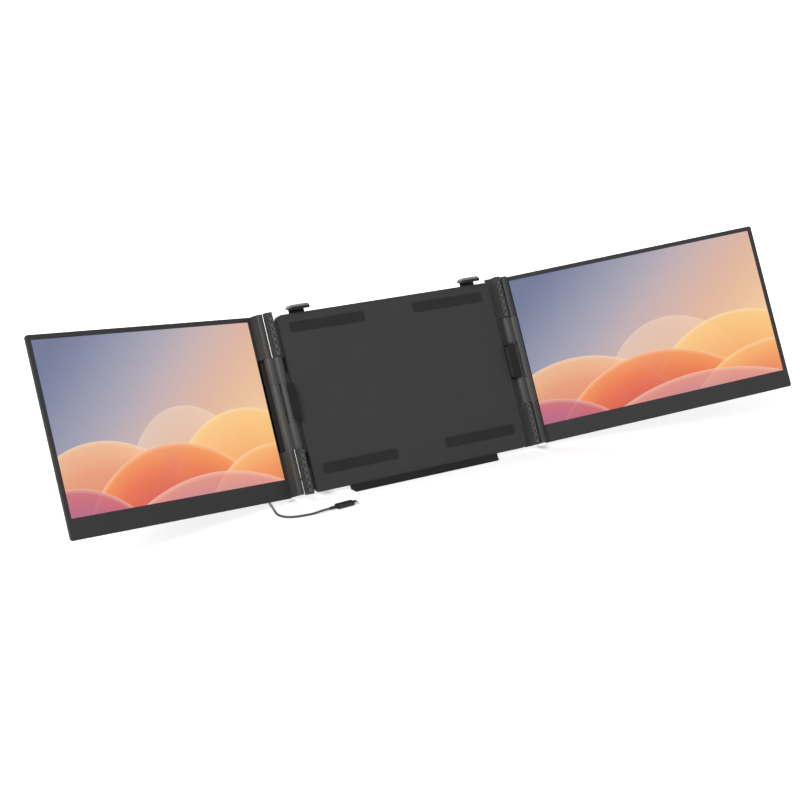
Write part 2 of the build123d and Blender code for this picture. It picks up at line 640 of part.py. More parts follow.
def column_covers():
    """Engraved plates on the blocks' fronts."""
    covers = []
    x = COLUMN_AXIS_X
    for zs in column_zones():
        cover = brick((x - BLOCK_INNER, x + BLOCK_OUTER), (BLOCK_FRONT_Y, BLOCK_FRONT_Y + COVER_PLATE), zs)
        front_edges = cover.edges().filter_by(Axis.Z).group_by(Axis.Y)[0]
        covers.append(fillet(front_edges, COVER_PLATE * 0.7))
    return group(*covers)


def column_shafts():
    """Two shafts on the column axis."""
    return group(*(rod(COLUMN_AXIS_X, AXIS_Y, zs, SHAFT_RADIUS) for zs in shaft_zones()))


def jaw():
    """Side jaw: a wall beside the lid and a lip in front of it."""
    zs = (JAW_Z0, JAW_Z1)
    lip = plate((JAW_LIP_X0, JAW_LIP_X0 + JAW_LIP_WIDTH), (LIP_FRONT_Y, LIP_BACK_Y), zs, JAW_CORNER)
    return lip + brick((JAW_WALL_X0, JAW_WALL_X1), (LIP_BACK_Y, SPINE_FRONT_Y), zs)


def jaw_pad():
    """Rubber lining of the jaw's wall and lip."""
    zs = (JAW_Z0 + JAW_CORNER, JAW_Z1 - JAW_CORNER)
    wall = brick((LID_HALF_WIDTH, JAW_WALL_X0), (LIP_BACK_Y, SPINE_FRONT_Y), zs)
    return wall + brick((JAW_LIP_X0, JAW_WALL_X0), (LIP_BACK_Y, -LIP_GAP), zs)


# ---------------------------------------------------------------- link
def link_bar():
    """Twin-lobed bar that joins the column axis to the screen axis."""
    zs = (LINK_Z0, LINK_Z1)
    column_lobe = rod(COLUMN_AXIS_X, AXIS_Y, zs, LINK_RADIUS)
    bar = rod(SCREEN_AXIS_X, AXIS_Y, zs, LINK_RADIUS)
    bar += brick((COLUMN_AXIS_X, SCREEN_AXIS_X), around(AXIS_Y, LINK_WEB), zs)
    notch_zs = (JAW_Z0 - NOTCH_CLEARANCE, JAW_Z1 + NOTCH_CLEARANCE)
    bar -= rod(COLUMN_AXIS_X, AXIS_Y, notch_zs, NOTCH_RADIUS)
    bar += column_lobe
    for x in (COLUMN_AXIS_X, SCREEN_AXIS_X):
        for shaft_zs in shaft_zones():
            bar -= rod(x, AXIS_Y, shaft_zs, SHAFT_RADIUS + SHAFT_CLEARANCE)
    return bar


def link_washers():
    """Thin washers on the shafts at both ends of the link."""
    thickness = LINK_SEAM - WASHER_PLAY
    washers = []
    for x in (COLUMN_AXIS_X, SCREEN_AXIS_X):
        for zs in ((LINK_Z1, LINK_Z1 + thickness), (LINK_Z0 - thickness, LINK_Z0)):
            washer = rod(x, AXIS_Y, zs, WASHER_RADIUS)
            washers.append(washer - rod(x, AXIS_Y, zs, SHAFT_RADIUS + SHAFT_CLEARANCE))
    return group(*washers)


# ---------------------------------------------------------------- screens, drawn round their own axis
def screen_outline(ys, inset=0.0):
    """The screen's rounded outline as a plate, optionally smaller all round."""
    return plate((EDGE_SETOUT + inset, SCREEN_X1 - inset), ys, (SCREEN_Z0 + inset, SCREEN_Z1 - inset),
                 SCREEN_CORNER - inset)


def link_recess():
    """Recess in the screen's edge, beside the link."""
    return brick((EDGE_SETOUT, EDGE_SETOUT + RECESS_WIDTH), (FACE_Y, FACE_Y + RECESS_DEPTH),
                 (LINK_Z0, LINK_Z1))


def screen_bezel():
    """Front border round the lit area."""
    bezel = screen_outline((FACE_Y, BEZEL_BACK_Y))
    bezel -= brick((DISPLAY_X0, DISPLAY_X1), (FACE_Y, BEZEL_BACK_Y), (DISPLAY_Z0, DISPLAY_Z1))
    return bezel - link_recess()


def panel_limits(ys):
    """Box of the glass or of the backlight behind it."""
    return brick((DISPLAY_X0 - PANEL_EDGE, DISPLAY_X1 + PANEL_MARGIN), ys,
                 (DISPLAY_Z0 - PANEL_FOOT, DISPLAY_Z1 + PANEL_MARGIN))


def leaf_zones():
    """Height limits of the bracket's two leaves inside the screen."""
    return ((UPPER_Z0 + LEAF_INSET, BULGE_Z1 - LEAF_INSET), (BULGE_Z0 + LEAF_INSET, LOWER_Z1 - LEAF_INSET))


def leaf(zs):
    """One leaf of the hinge bracket."""
    ys = (BULGE_CEILING_Y - LEAF_THICKNESS, BULGE_CEILING_Y)
    return brick((EDGE_SETOUT, EDGE_SETOUT + LEAF_LENGTH), ys, zs)


def leaf_screw_places():
    """Four screws in each leaf."""
    xs = (EDGE_SETOUT + SCREW_INSET_X, EDGE_SETOUT + LEAF_LENGTH - SCREW_INSET_X / 2)
    places = []
    for low, high in leaf_zones():
        inset = (high - low) / 5
        places += [(x, z) for x in xs for z in (low + inset, high - inset)]
    return places


def leaf_screw(x, z):
    """Screw through the rear cover into a leaf."""
    head_y = BULGE_BACK_Y - SCREW_HEAD_THICKNESS
    shank = stud(x, z, (BULGE_CEILING_Y - LEAF_THICKNESS, head_y), SCREW_RADIUS)
    return shank + stud(x, z, (head_y, BULGE_BACK_Y), SCREW_HEAD)


def screen_hinge():
    """Cast bracket: two knuckles, the web behind the link and two leaves."""
    back = BULGE_CEILING_Y
    z0 = SCREEN_Z0 + KNUCKLE_RAISE
    bracket = brick((-KNUCKLE_RADIUS, EDGE_SETOUT), (BRACKET_WEB_FRONT, back), (z0, SCREEN_Z1))
    for zs, shaft_zs in zip(((UPPER_Z0, SCREEN_Z1), (z0, LOWER_Z1)), shaft_zones()):
        section = Polyline((-KNUCKLE_RADIUS, 0), (KNUCKLE_RADIUS, 0), (EDGE_SETOUT, FACE_Y),
                           (EDGE_SETOUT, back), (-KNUCKLE_RADIUS, back), close=True)
        knuckle = Pos(0, 0, zs[0]) * extrude(make_face(section), zs[1] - zs[0])
        knuckle += rod(0, 0, zs, KNUCKLE_RADIUS)
        bracket += knuckle
        bracket -= rod(0, 0, shaft_zs, SHAFT_RADIUS)
    for zs in leaf_zones():
        bracket += leaf(zs)
    for x, z in leaf_screw_places():
        bracket -= leaf_screw(x, z)
    return bracket


def screen_shafts():
    """Two shafts on the screen axis."""
    return group(*(rod(0, 0, zs, SHAFT_RADIUS) for zs in shaft_zones()))


def power_button(extra=0.0):
    """Round button with an inner flange, optionally larger all round."""
    cap = stud(BUTTON_X, POWER_Z, (BULGE_CEILING_Y - BUTTON_TRAVEL, BULGE_BACK_Y + BUTTON_PROUD),
               BUTTON_RADIUS + extra)
    return cap + stud(BUTTON_X, POWER_Z, button_flange_limits(), BUTTON_RADIUS + BUTTON_FLANGE)


def button_flange_limits():
    """Depth limits of the buttons' flanges, under the cover's wall."""
    return BULGE_CEILING_Y - BUTTON_CLEARANCE - BUTTON_FLANGE, BULGE_CEILING_Y - BUTTON_CLEARANCE


def menu_button(extra=0.0):
    """Long menu rocker with an inner flange, optionally larger all round."""
    radius = MENU_RADIUS + extra
    ys = (BULGE_CEILING_Y - BUTTON_TRAVEL, BULGE_BACK_Y + BUTTON_PROUD)
    cap = plate(around(BUTTON_X, 2 * radius), ys, around(MENU_Z, MENU_LENGTH + 2 * extra), radius * 0.9)
    flange = brick(around(BUTTON_X, 2 * (MENU_RADIUS + BUTTON_FLANGE)), button_flange_limits(),
                   around(MENU_Z, MENU_LENGTH + 2 * BUTTON_FLANGE))
    return cap + flange


def board_limits():
    """Depth limits of the driver board."""
    y0 = BACKLIGHT_BACK_Y + BEZEL_THICKNESS
    return y0, y0 + BOARD_THICKNESS


def port_places():
    """Height and width of each port on the bulge's outer side: USB-C, then mini display."""
    return (BOARD_Z0 + USB_RISE, PORT_WIDTH), (BOARD_Z0 + DISPLAY_RISE, DISPLAY_PORT_WIDTH)


def screen_ports():
    """Ports on the board, flush with the bulge's outer side."""
    y = board_limits()[1] + PORT_HEIGHT / 2
    ports = []
    for level, width in port_places():
        turned = Rot(0, 0, -90) * Rot(0, 90, 0) * port_shell(width, PORT_HEIGHT, PORT_LENGTH)
        ports.append(Pos(BULGE_X1 - PORT_LENGTH, y, level) * turned)
    return group(*ports)


def driver_board():
    """Board with its chips and the two switches under the buttons."""
    ys = board_limits()
    pieces = [brick((BOARD_X0, BULGE_X1 - 2 * SCREEN_WALL), ys, (BOARD_Z0, BOARD_Z0 + BOARD_HEIGHT))]
    for column, row, size in ((1, 0, MAIN_CHIP), (2, 0, SIDE_CHIP), (1, 1, SMALL_CHIP)):
        x = BOARD_X0 + column * CHIP_PITCH
        z = BOARD_Z0 + CHIP_RISE + row * CHIP_PITCH
        pieces.append(brick(around(x, size), (ys[1], ys[1] + CHIP_HEIGHT), around(z, size)))
    switch_top = button_flange_limits()[0] - BUTTON_TRAVEL - BUTTON_CLEARANCE / 2
    for z in (POWER_Z, MENU_Z):
        pieces.append(brick(around(BUTTON_X, SWITCH_WIDTH), (ys[1], switch_top), around(z, SWITCH_WIDTH)))
    return group(*pieces)


def vents():
    """Row of slots in the bulge's back, above the board."""
    xs = around((BOARD_X0 + BULGE_X1) / 2, VENT_LENGTH)
    ys = (BULGE_CEILING_Y, BULGE_BACK_Y)
    tops = [BULGE_Z1 - VENT_DROP - place * VENT_PITCH for place in range(VENT_COUNT)]
    return [plate(xs, ys, (top - VENT_WIDTH, top), VENT_WIDTH * 0.45) for top in tops]


def cover_slab():
    """The rear cover's outline with its sloped rim, which clears the cable on the table."""
    slab = screen_outline((BEZEL_BACK_Y, SCREEN_BACK_Y))
    back = slab.faces().sort_by(Axis.Y)[-1]
    return chamfer(back.edges(), COVER_TAPER_INSET, COVER_TAPER_DEPTH, reference=back)


def screen_rear_cover():
    """Shell behind the panel, with the electronics bulge near the hinge."""
    cover = cover_slab()
    cover += plate((EDGE_SETOUT, BULGE_X1), (BEZEL_BACK_Y, BULGE_BACK_Y), (BULGE_Z0, BULGE_Z1), BULGE_CORNER)
    inner_x0 = EDGE_SETOUT + RECESS_WIDTH + SCREEN_WALL
    cover -= brick((inner_x0, SCREEN_X1 - SCREEN_WALL), (BEZEL_BACK_Y, SCREEN_BACK_Y - COVER_WALL),
                   (SCREEN_Z0 + SCREEN_WALL, SCREEN_Z1 - SCREEN_WALL))
    cover -= brick((inner_x0, BULGE_X1 - SCREEN_WALL), (BEZEL_BACK_Y, BULGE_CEILING_Y),
                   (BULGE_Z0 + SCREEN_WALL, BULGE_Z1 - SCREEN_WALL))
    cover -= link_recess()
    for zs in leaf_zones():
        cover -= leaf(zs)
    for x, z in leaf_screw_places():
        cover -= leaf_screw(x, z)
    cover -= power_button(BUTTON_CLEARANCE)
    cover -= menu_button(BUTTON_CLEARANCE)
    y0 = board_limits()[1]
    for level, width in port_places():
        cover -= brick((BULGE_X1 - SCREEN_WALL, BULGE_X1), (y0, y0 + PORT_HEIGHT), around(level, width))
    for slot in vents():
        cover -= slot
    return cover


def screen_screws():
    """Screws that hold the cover on the leaves."""
    return group(*(leaf_screw(x, z) for x, z in leaf_screw_places()))


# ---------------------------------------------------------------- plugs and cable
def plug():
    """Plug along +y: metal tongue from y = 0, moulded body, tapered relief."""
    tongue = brick(around(0, TONGUE_WIDTH), (0, TONGUE_LENGTH), around(0, TONGUE_HEIGHT))
    tongue = fillet(tongue.edges().filter_by(Axis.Y), TONGUE_HEIGHT * 0.4)
    body = brick(around(0, PLUG_WIDTH), (TONGUE_LENGTH, TONGUE_LENGTH + PLUG_LENGTH), around(0, PLUG_HEIGHT))
    body = fillet(body.edges().filter_by(Axis.Y), PLUG_HEIGHT * 0.35)
    relief = Cone(RELIEF_RADIUS, CABLE_RADIUS + RELIEF_TIP, RELIEF_LENGTH)
    relief = Pos(0, TONGUE_LENGTH + PLUG_LENGTH + RELIEF_LENGTH / 2, 0) * Rot(-90, 0, 0) * relief
    return tongue + body + relief


def frame_plug():
    """Plug in the frame's port, standing straight out of the back."""
    return stand(Pos(PORT_X, SHELL_BACK_Y + PLUG_GAP - TONGUE_LENGTH, PORT_Z) * plug())


def loose_plug():
    """Plug lying on the table at the cable's other end."""
    reach = TONGUE_LENGTH + PLUG_LENGTH + RELIEF_LENGTH
    place = Pos(*LOOSE_PLUG_END, PLUG_HEIGHT / 2) * Rot(0, 0, 90 + LOOSE_PLUG_TURN)
    return place * Pos(0, -reach, 0) * plug()


def cable_route():
    """Corner points of the cable from the frame's plug to the loose plug."""
    lean = math.radians(LEAN)
    start = stand(Pos(PORT_X, SHELL_BACK_Y + PLUG_GAP + PLUG_LENGTH + RELIEF_LENGTH, PORT_Z)).position
    landing = (start.Z - CABLE_RADIUS) / math.sin(lean)
    points = [start, start + Vector(0, math.cos(lean), -math.sin(lean)) * landing]
    points += [Vector(x, y, CABLE_RADIUS) for x, y in CABLE_ON_TABLE]
    end = Vector(*LOOSE_PLUG_END, PLUG_HEIGHT / 2)
    turn = math.radians(LOOSE_PLUG_TURN)
    points += [end - Vector(math.cos(turn), math.sin(turn), 0) * LOOSE_RUN, end]
    return points


def corner_radii(points):
    """Largest tidy arc at each corner of the route."""
    radii = []
    for before, here, after in zip(points, points[1:], points[2:]):
        run = min((here - before).length, (after - here).length)
        turn = (here - before).get_angle(after - here)
        radii.append(0.45 * run / math.tan(math.radians(turn) / 2))
    return radii


def cable():
    """Round cable along its route."""
    points = cable_route()
    radii = corner_radii(points)
    path = FilletPolyline(*points, radius=radii)
    start = Plane(origin=points[0], z_dir=points[1] - points[0])
    tube = sweep(start * Circle(CABLE_RADIUS), path=path)
    print("cable radii", [round(radius, 1) for radius in radii])
    print("cable length", round(path.length, 1), "volume", round(tube.volume, 1),
          "section x length", round(math.pi * CABLE_RADIUS ** 2 * path.length, 1))
    return tube


# ---------------------------------------------------------------- write the nodes
def main():
    """Write every node's STEP file."""
    os.makedirs("parts", exist_ok=True)
    for make in (frame_front_plate, frame_rear_shell, arm_guides, front_pads, foot_strip, hub_board,
                 frame_usb_port, kickstand_hinges, kickstand_pin):
        save(make.__name__, stand(make()))
    save("frame_screws", stand(group(*(frame_screw(x, z) for x, z in screw_places()))))
    for make in (kickstand_panel, kickstand_foot):
        save(make.__name__, stand(kick_open(make())))
    for make in (top_clip, clip_pad, column_spine, column_arms, column_blocks, column_covers,
                 column_shafts, jaw, jaw_pad, link_bar, link_washers):
        save_pair(make.__name__, make())
    for make in (screen_hinge, screen_shafts, screen_bezel, screen_rear_cover, driver_board,
                 screen_ports, screen_screws, power_button, menu_button):
        save_screen_pair(make.__name__, make())
    save_screen_pair("lcd_panel", panel_limits((BEZEL_BACK_Y, PANEL_BACK_Y)))
    save_screen_pair("backlight", panel_limits((PANEL_BACK_Y, BACKLIGHT_BACK_Y)))
    save("cable_frame_plug", frame_plug())
    save("cable_loose_plug", loose_plug())
    save("cable", cable())


main()
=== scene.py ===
"""Dress the laptop screen extender: finishes, screen pictures, hinge castings, cable and studio."""

import json
import logging
import math
from dataclasses import dataclass
from enum import Enum

import bmesh
import bpy
import numpy as np
from mathutils import Matrix, Vector

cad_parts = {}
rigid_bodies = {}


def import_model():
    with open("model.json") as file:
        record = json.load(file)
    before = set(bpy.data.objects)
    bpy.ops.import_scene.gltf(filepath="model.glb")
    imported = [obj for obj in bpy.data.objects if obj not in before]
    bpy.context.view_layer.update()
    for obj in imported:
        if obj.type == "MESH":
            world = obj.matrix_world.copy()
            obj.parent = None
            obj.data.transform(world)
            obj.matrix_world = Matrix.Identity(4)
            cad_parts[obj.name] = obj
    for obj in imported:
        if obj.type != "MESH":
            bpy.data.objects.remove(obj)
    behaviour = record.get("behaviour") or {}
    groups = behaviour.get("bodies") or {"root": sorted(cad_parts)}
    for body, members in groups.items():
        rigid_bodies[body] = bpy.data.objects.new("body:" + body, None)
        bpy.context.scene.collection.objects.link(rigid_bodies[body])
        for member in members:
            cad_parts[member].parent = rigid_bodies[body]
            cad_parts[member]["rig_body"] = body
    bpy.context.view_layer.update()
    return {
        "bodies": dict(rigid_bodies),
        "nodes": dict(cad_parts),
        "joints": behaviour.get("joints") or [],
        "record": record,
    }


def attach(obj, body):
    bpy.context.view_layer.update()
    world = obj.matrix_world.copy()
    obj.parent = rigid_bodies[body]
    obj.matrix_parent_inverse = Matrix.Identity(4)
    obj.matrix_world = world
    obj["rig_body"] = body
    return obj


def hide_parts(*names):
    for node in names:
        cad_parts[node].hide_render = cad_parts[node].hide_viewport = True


LOG = logging.getLogger("screen_extender")
Array = np.ndarray
Point = tuple[float, float, float]
Stops = tuple[tuple[float, str], ...]
Material = bpy.types.Material
Object = bpy.types.Object
Socket = bpy.types.NodeSocket
Term = float | str | tuple | Socket

MM = 0.001
FAR = 99.0  # beyond every outline, in millimetres
HAIR = 0.02  # least round of an edge, in millimetres
METAL_GRAIN = 2600.0  # grains in a metre of blasted metal
WHITE = (1.0, 1.0, 1.0, 1.0)

# place of the upright drawing as it stands, in millimetres and radians, as in the part's source
LEAN = math.radians(25.0)
FRAME_LIFT = 6.8
FRAME_MIDDLE_Y = 12.0
FRAME_BOTTOM_Z = -130.5
AXIS_Y = 6.0
COLUMN_AXIS_X = 190.5
HINGE_PITCH = 13.0
SCREEN_AXIS_X = COLUMN_AXIS_X + HINGE_PITCH


class Side(Enum):
    """Half of the extender: its nodes' prefix, its sign of x, its fold at rest in degrees."""

    LEFT = ("left", -1.0, 20.0)
    RIGHT = ("right", 1.0, 19.0)

    def __init__(self, word: str, sign: float, fold: float) -> None:
        """Keep the values by name, the fold in radians."""
        self.word, self.sign, self.fold = word, sign, math.radians(fold)


def stand(points: Array) -> Array:
    """Lean upright points back and stand them on the table.

    Args:
        points: array (..., 3) in millimetres, drawn upright.

    Returns:
        The same points in metres, in the row frame: a turn by the lean about x, then a lift.
    """
    x = points[..., 0]
    y = points[..., 1] - FRAME_MIDDLE_Y
    z = points[..., 2] - FRAME_BOTTOM_Z
    back = y * math.cos(LEAN) + z * math.sin(LEAN)
    up = z * math.cos(LEAN) - y * math.sin(LEAN) + FRAME_LIFT
    return np.stack((x, back, up), -1) * MM


def on_side(points: Array, side: Side) -> Array:
    """Mirror upright points drawn for the right on the left side, and stand them up."""
    return stand(points * np.array((side.sign, 1.0, 1.0)))


def on_screen(points: Array, side: Side) -> Array:
    """Hang points drawn round the screen's own axis on one side.

    Args:
        points: array (..., 3) in millimetres, x outwards from the screen's axis.
        side: which side they are for.

    Returns:
        Points in metres: a turn by the fold about z, a shift to the axis, then the side's place.
    """
    cos, sin = math.cos(side.fold), math.sin(side.fold)
    x = points[..., 0] * cos + points[..., 1] * sin + SCREEN_AXIS_X
    y = points[..., 1] * cos - points[..., 0] * sin + AXIS_Y
    return on_side(np.stack((x, y, points[..., 2]), -1), side)


# -------- meshes
def rays(count: int, start: float = 0.0) -> Array:
    """Unit vectors (cos a, sin a) of one full turn in equal steps of a, array (count, 2)."""
    turn = np.linspace(0.0, 2 * math.pi, count, endpoint=False) + start
    return np.stack((np.cos(turn), np.sin(turn)), 1)


def quarter_round(steps: int) -> tuple[Array, Array]:
    """1 - sin a and 1 - cos a for a from 0 to a quarter turn: a unit round's two distances."""
    angle = np.linspace(0.0, math.pi / 2, steps + 1)
    return 1 - np.sin(angle), 1 - np.cos(angle)


def rounded_stack(profile: Array, low: float, high: float, radius: float, steps: int = 4) -> Array:
    """A profile carried from low to high, its two rims rounded off.

    Each ring is the profile moved inwards along its own normals by radius * (1 - sin a) while its
    height goes radius * (1 - cos a) from the end, for a from 0 to a quarter turn.

    Args:
        profile: array (n, 2), anticlockwise.
        low: height of the lower end.
        high: height of the upper end.
        radius: rim radius.
        steps: steps of a.

    Returns:
        Rings, array (2 * steps + 2, n, 3).
    """
    tangent = np.roll(profile, -1, axis=0) - np.roll(profile, 1, axis=0)
    tangent /= np.linalg.norm(tangent, axis=1, keepdims=True)
    normal = np.stack((tangent[:, 1], -tangent[:, 0]), 1)
    inset, rise = (radius * share for share in quarter_round(steps))
    insets = np.concatenate((inset, inset[::-1]))
    heights = np.concatenate((low + rise, high - rise[::-1]))
    flat = profile[None] - normal[None] * insets[:, None, None]
    tall = np.broadcast_to(heights[:, None, None], (len(heights), len(profile), 1))
    return np.concatenate((flat, tall), 2)


def ring_faces(index: Array) -> list[list[int]]:
    """A closed tube's quads, then its two ends, from its points' indices, array (rings, points)."""
    beside = np.roll(index, -1, axis=1)
    quads = np.stack((index[:-1], beside[:-1], beside[1:], index[1:]), -1).reshape(-1, 4)
    return [*quads.tolist(), index[0, ::-1].tolist(), index[-1].tolist()]


# -------- finishes
def linear(code: str) -> tuple[float, float, float, float]:
    """Colour socket value of a web colour such as "3a3a3b"."""
    shares = [int(code[i:i + 2], 16) / 255 for i in (0, 2, 4)]
    red, green, blue = (c / 12.92 if c <= 0.04045 else ((c + 0.055) / 1.055) ** 2.4 for c in shares)
    return red, green, blue, 1.0


class Nodes:
    """A node tree, with short calls to add nodes and join them.

    A term is a number, a tuple, a web colour or another node's socket.
    """

    rough_noise: float = 0.55

    def __init__(self, tree: bpy.types.NodeTree) -> None:
        """Work on a tree."""
        self.tree = tree

    def put(self, term: Term, socket: Socket) -> None:
        """Link another socket to an input, or set the input itself to a constant."""
        if isinstance(term, Socket):
            self.tree.links.new(term, socket)
        else:
            socket.default_value = linear(term) if isinstance(term, str) else term

    def add(self, kind: str, terms: dict[int | str, Term], **settings: object) -> bpy.types.Node:
        """Add a node.

        Args:
            kind: its type, without the usual prefix.
            terms: what goes into its inputs, by index or name.
            **settings: its own settings.

        Returns:
            The node.
        """
        node = self.tree.nodes.new("ShaderNode" + kind)
        for key, value in settings.items():
            setattr(node, key, value)
        for key, term in terms.items():
            self.put(term, node.inputs[key])
        return node

    def coordinates(self, kind: str = "Object") -> Socket:
        """Texture coordinates of one kind."""
        return self.add("TexCoord", {}).outputs[kind]

    def parts(self, where: Socket) -> tuple[Socket, Socket]:
        """First two components of a vector."""
        split = self.add("SeparateXYZ", {0: where})
        return split.outputs[0], split.outputs[1]

    def upright(self, where: Socket, scale: Point) -> Socket:
        """Coordinates stretched along the axes, then turned about x by the lean."""
        terms = {"Vector": where, "Scale": scale, "Rotation": (-LEAN, 0.0, 0.0)}
        return self.add("Mapping", terms).outputs[0]

    def noise(self, where: Socket, scale: float, detail: float = 2.0) -> Socket:
        """Noise of one scale, from 0 to 1."""
        terms = {"Vector": where, "Scale": scale, "Detail": detail, "Roughness": self.rough_noise}
        return self.add("TexNoise", terms).outputs["Fac"]

    def math(self, operation: str, *terms: Term, clamp: bool = False) -> Socket:
        """One arithmetic step on sockets and numbers."""
        node = self.add("Math", dict(enumerate(terms)), operation=operation, use_clamp=clamp)
        return node.outputs[0]

    def weigh(self, first: Term, one: Term, second: Term, two: Term) -> Socket:
        """Weighted sum: first * one + second * two."""
        return self.math("MULTIPLY_ADD", first, one, self.math("MULTIPLY", second, two))

    def length(self, x: Socket, y: Socket) -> Socket:
        """Length of a flat vector: sqrt(x ** 2 + y ** 2)."""
        return self.math("SQRT", self.weigh(x, x, y, y))

    def swing(self, share: Socket, middle: float, width: float) -> Socket:
        """A share from 0 to 1 laid over a width: middle + width * (share - 1 / 2)."""
        return self.math("MULTIPLY_ADD", share, width, middle - width / 2)

    def ramp(self, factor: Socket, stops: Stops) -> Socket:
        """Smooth ramp through web colours at their places, for a factor from 0 to 1."""
        node = self.add("ValToRGB", {0: factor})
        node.color_ramp.interpolation = "B_SPLINE"
        elements = node.color_ramp.elements
        while len(elements) < len(stops):
            elements.new(0.5)
        for element, (place, code) in zip(elements, stops):
            element.position = place
            element.color = linear(code)
        return node.outputs[0]

    def mix(self, factor: Term, first: Term, second: Term) -> Socket:
        """Blend of two colours, from the first at factor 0 to the second at 1."""
        return self.add("Mix", {0: factor, 6: first, 7: second}, data_type="RGBA").outputs[2]

    def seen_directly(self) -> Socket:
        """1 for rays from the camera, from gloss and through glass, 0 for those that light."""
        path = self.add("LightPath", {}).outputs
        seen = self.math("MAXIMUM", path["Is Camera Ray"], path["Is Glossy Ray"])
        return self.math("MAXIMUM", seen, path["Is Transmission Ray"])


class Shader(Nodes):
    """The node tree of a new material, round its principled shader."""

    def __init__(self, name: str) -> None:
        """Start a material that holds only its output and the shader."""
        self.material = bpy.data.materials.new(name)
        self.material.use_nodes = True
        super().__init__(self.material.node_tree)
        self.tree.nodes.clear()
        self.shader = self.add("BsdfPrincipled", {})
        self.add("OutputMaterial", {0: self.shader.outputs[0]})

    def feed(self, terms: dict[str, Term]) -> None:
        """Put terms into the shader's inputs, by the inputs' names."""
        for name, term in terms.items():
            self.put(term, self.shader.inputs[name])

    def bump(self, height: Socket, depth: float, strength: float) -> None:
        """Relief on the shader, its depth in millimetres."""
        node = self.add("Bump", {"Strength": strength, "Distance": depth * MM, "Height": height})
        self.feed({"Normal": node.outputs[0]})


@dataclass(frozen=True)
class Moulded:
    """Moulded plastic or rubber: a fine grain, slight clouding of its colour and of its gloss."""

    name: str
    colour: str
    shade: str
    gloss: float
    grain: float = 0.35
    depth: float = 0.02
    sheen: float = 0.0
    level: float = 0.5
    cloud: float = 22.0
    cloud_detail: float = 4.0
    swing: float = 0.16
    relief: float = 0.6

    def build(self) -> Material:
        """Make the material."""
        nodes = Shader(self.name)
        where = nodes.coordinates()
        cloud = nodes.noise(where, self.cloud, self.cloud_detail)
        grain = nodes.noise(where, 1.0 / (self.grain * MM))
        nodes.feed({
            "Base Color": nodes.mix(nodes.weigh(grain, 0.5, cloud, 0.5), self.colour, self.shade),
            "Roughness": nodes.swing(cloud, self.gloss, self.swing),
            "Specular IOR Level": self.level,
            "Sheen Weight": self.sheen,
        })
        nodes.bump(grain, self.depth, self.relief)
        return nodes.material


@dataclass(frozen=True)
class Anodised:
    """Anodised or plated metal: fine blasted grain, or brushed lines along one axis."""

    name: str
    colour: str
    shade: str
    gloss: float
    metal: float = 0.8
    brush: Point = (1.0, 1.0, 1.0)
    depth: float = 0.006
    level: float = 0.5
    cloud: float = 14.0
    cloud_detail: float = 3.0
    line_share: float = 0.55
    cloud_share: float = 0.4
    swing: float = 0.14
    relief: float = 0.5

    def build(self) -> Material:
        """Make the material."""
        nodes = Shader(self.name)
        where = nodes.coordinates()
        cloud = nodes.noise(where, self.cloud, self.cloud_detail)
        lines = nodes.noise(nodes.upright(where, self.brush), METAL_GRAIN)
        share = nodes.weigh(lines, self.line_share, cloud, self.cloud_share)
        nodes.feed({
            "Base Color": nodes.mix(share, self.colour, self.shade),
            "Roughness": nodes.swing(lines, self.gloss, self.swing),
            "Metallic": self.metal,
            "Specular IOR Level": self.level,
        })
        nodes.bump(lines, self.depth, self.relief)
        return nodes.material


@dataclass(frozen=True)
class Engraved:
    """Anodised metal, darker and duller where the point attribute "cut" marks an engraved line, or
    on the clip the black lip and the painted shade above it.
    """

    name: str
    colour: str
    shade: str
    cut: str
    gloss: float
    metal: float = 0.3
    level: float = 0.2
    duller: float = 0.3
    depth: float = 0.005
    relief: float = 0.4

    def build(self) -> Material:
        """Make the material."""
        nodes = Shader(self.name)
        cut = nodes.add("Attribute", {}, attribute_name="cut").outputs["Fac"]
        grain = nodes.noise(nodes.coordinates(), METAL_GRAIN)
        nodes.feed({
            "Base Color": nodes.mix(cut, nodes.mix(grain, self.colour, self.shade), self.cut),
            "Roughness": nodes.math("MULTIPLY_ADD", cut, self.duller, self.gloss),
            "Metallic": self.metal,
            "Specular IOR Level": self.level,
        })
        nodes.bump(grain, self.depth, self.relief)
        return nodes.material


@dataclass(frozen=True)
class Board:
    """Circuit board: green lacquer over copper tracks, with a few pale pads."""

    name: str
    lacquer: str = "1d5a38"
    shade: str = "1a5233"
    track: str = "2f7a4c"
    pad: str = "b7b19a"
    pad_scale: float = 260.0
    pad_size: float = 0.16
    track_scale: float = 420.0
    track_width: float = 0.06
    gloss: float = 0.38
    depth: float = 0.03

    def build(self) -> Material:
        """Make the material."""
        nodes = Shader(self.name)
        where = nodes.upright(nodes.coordinates(), (1.0, 1.0, 1.0))
        cells = nodes.add("TexVoronoi", {"Vector": where, "Scale": self.pad_scale},
                          distance="MANHATTAN", feature="F1")
        tracks = nodes.add("TexBrick", {
            "Vector": where, "Scale": self.track_scale, "Mortar Size": self.track_width,
            "Color1": self.lacquer, "Color2": self.shade, "Mortar": self.track,
        })
        pads = nodes.math("LESS_THAN", cells.outputs["Distance"], self.pad_size)
        nodes.feed({
            "Base Color": nodes.mix(pads, tracks.outputs["Color"], self.pad),
            "Roughness": self.gloss,
        })
        nodes.bump(tracks.outputs["Fac"], self.depth, 1.0)
        return nodes.material


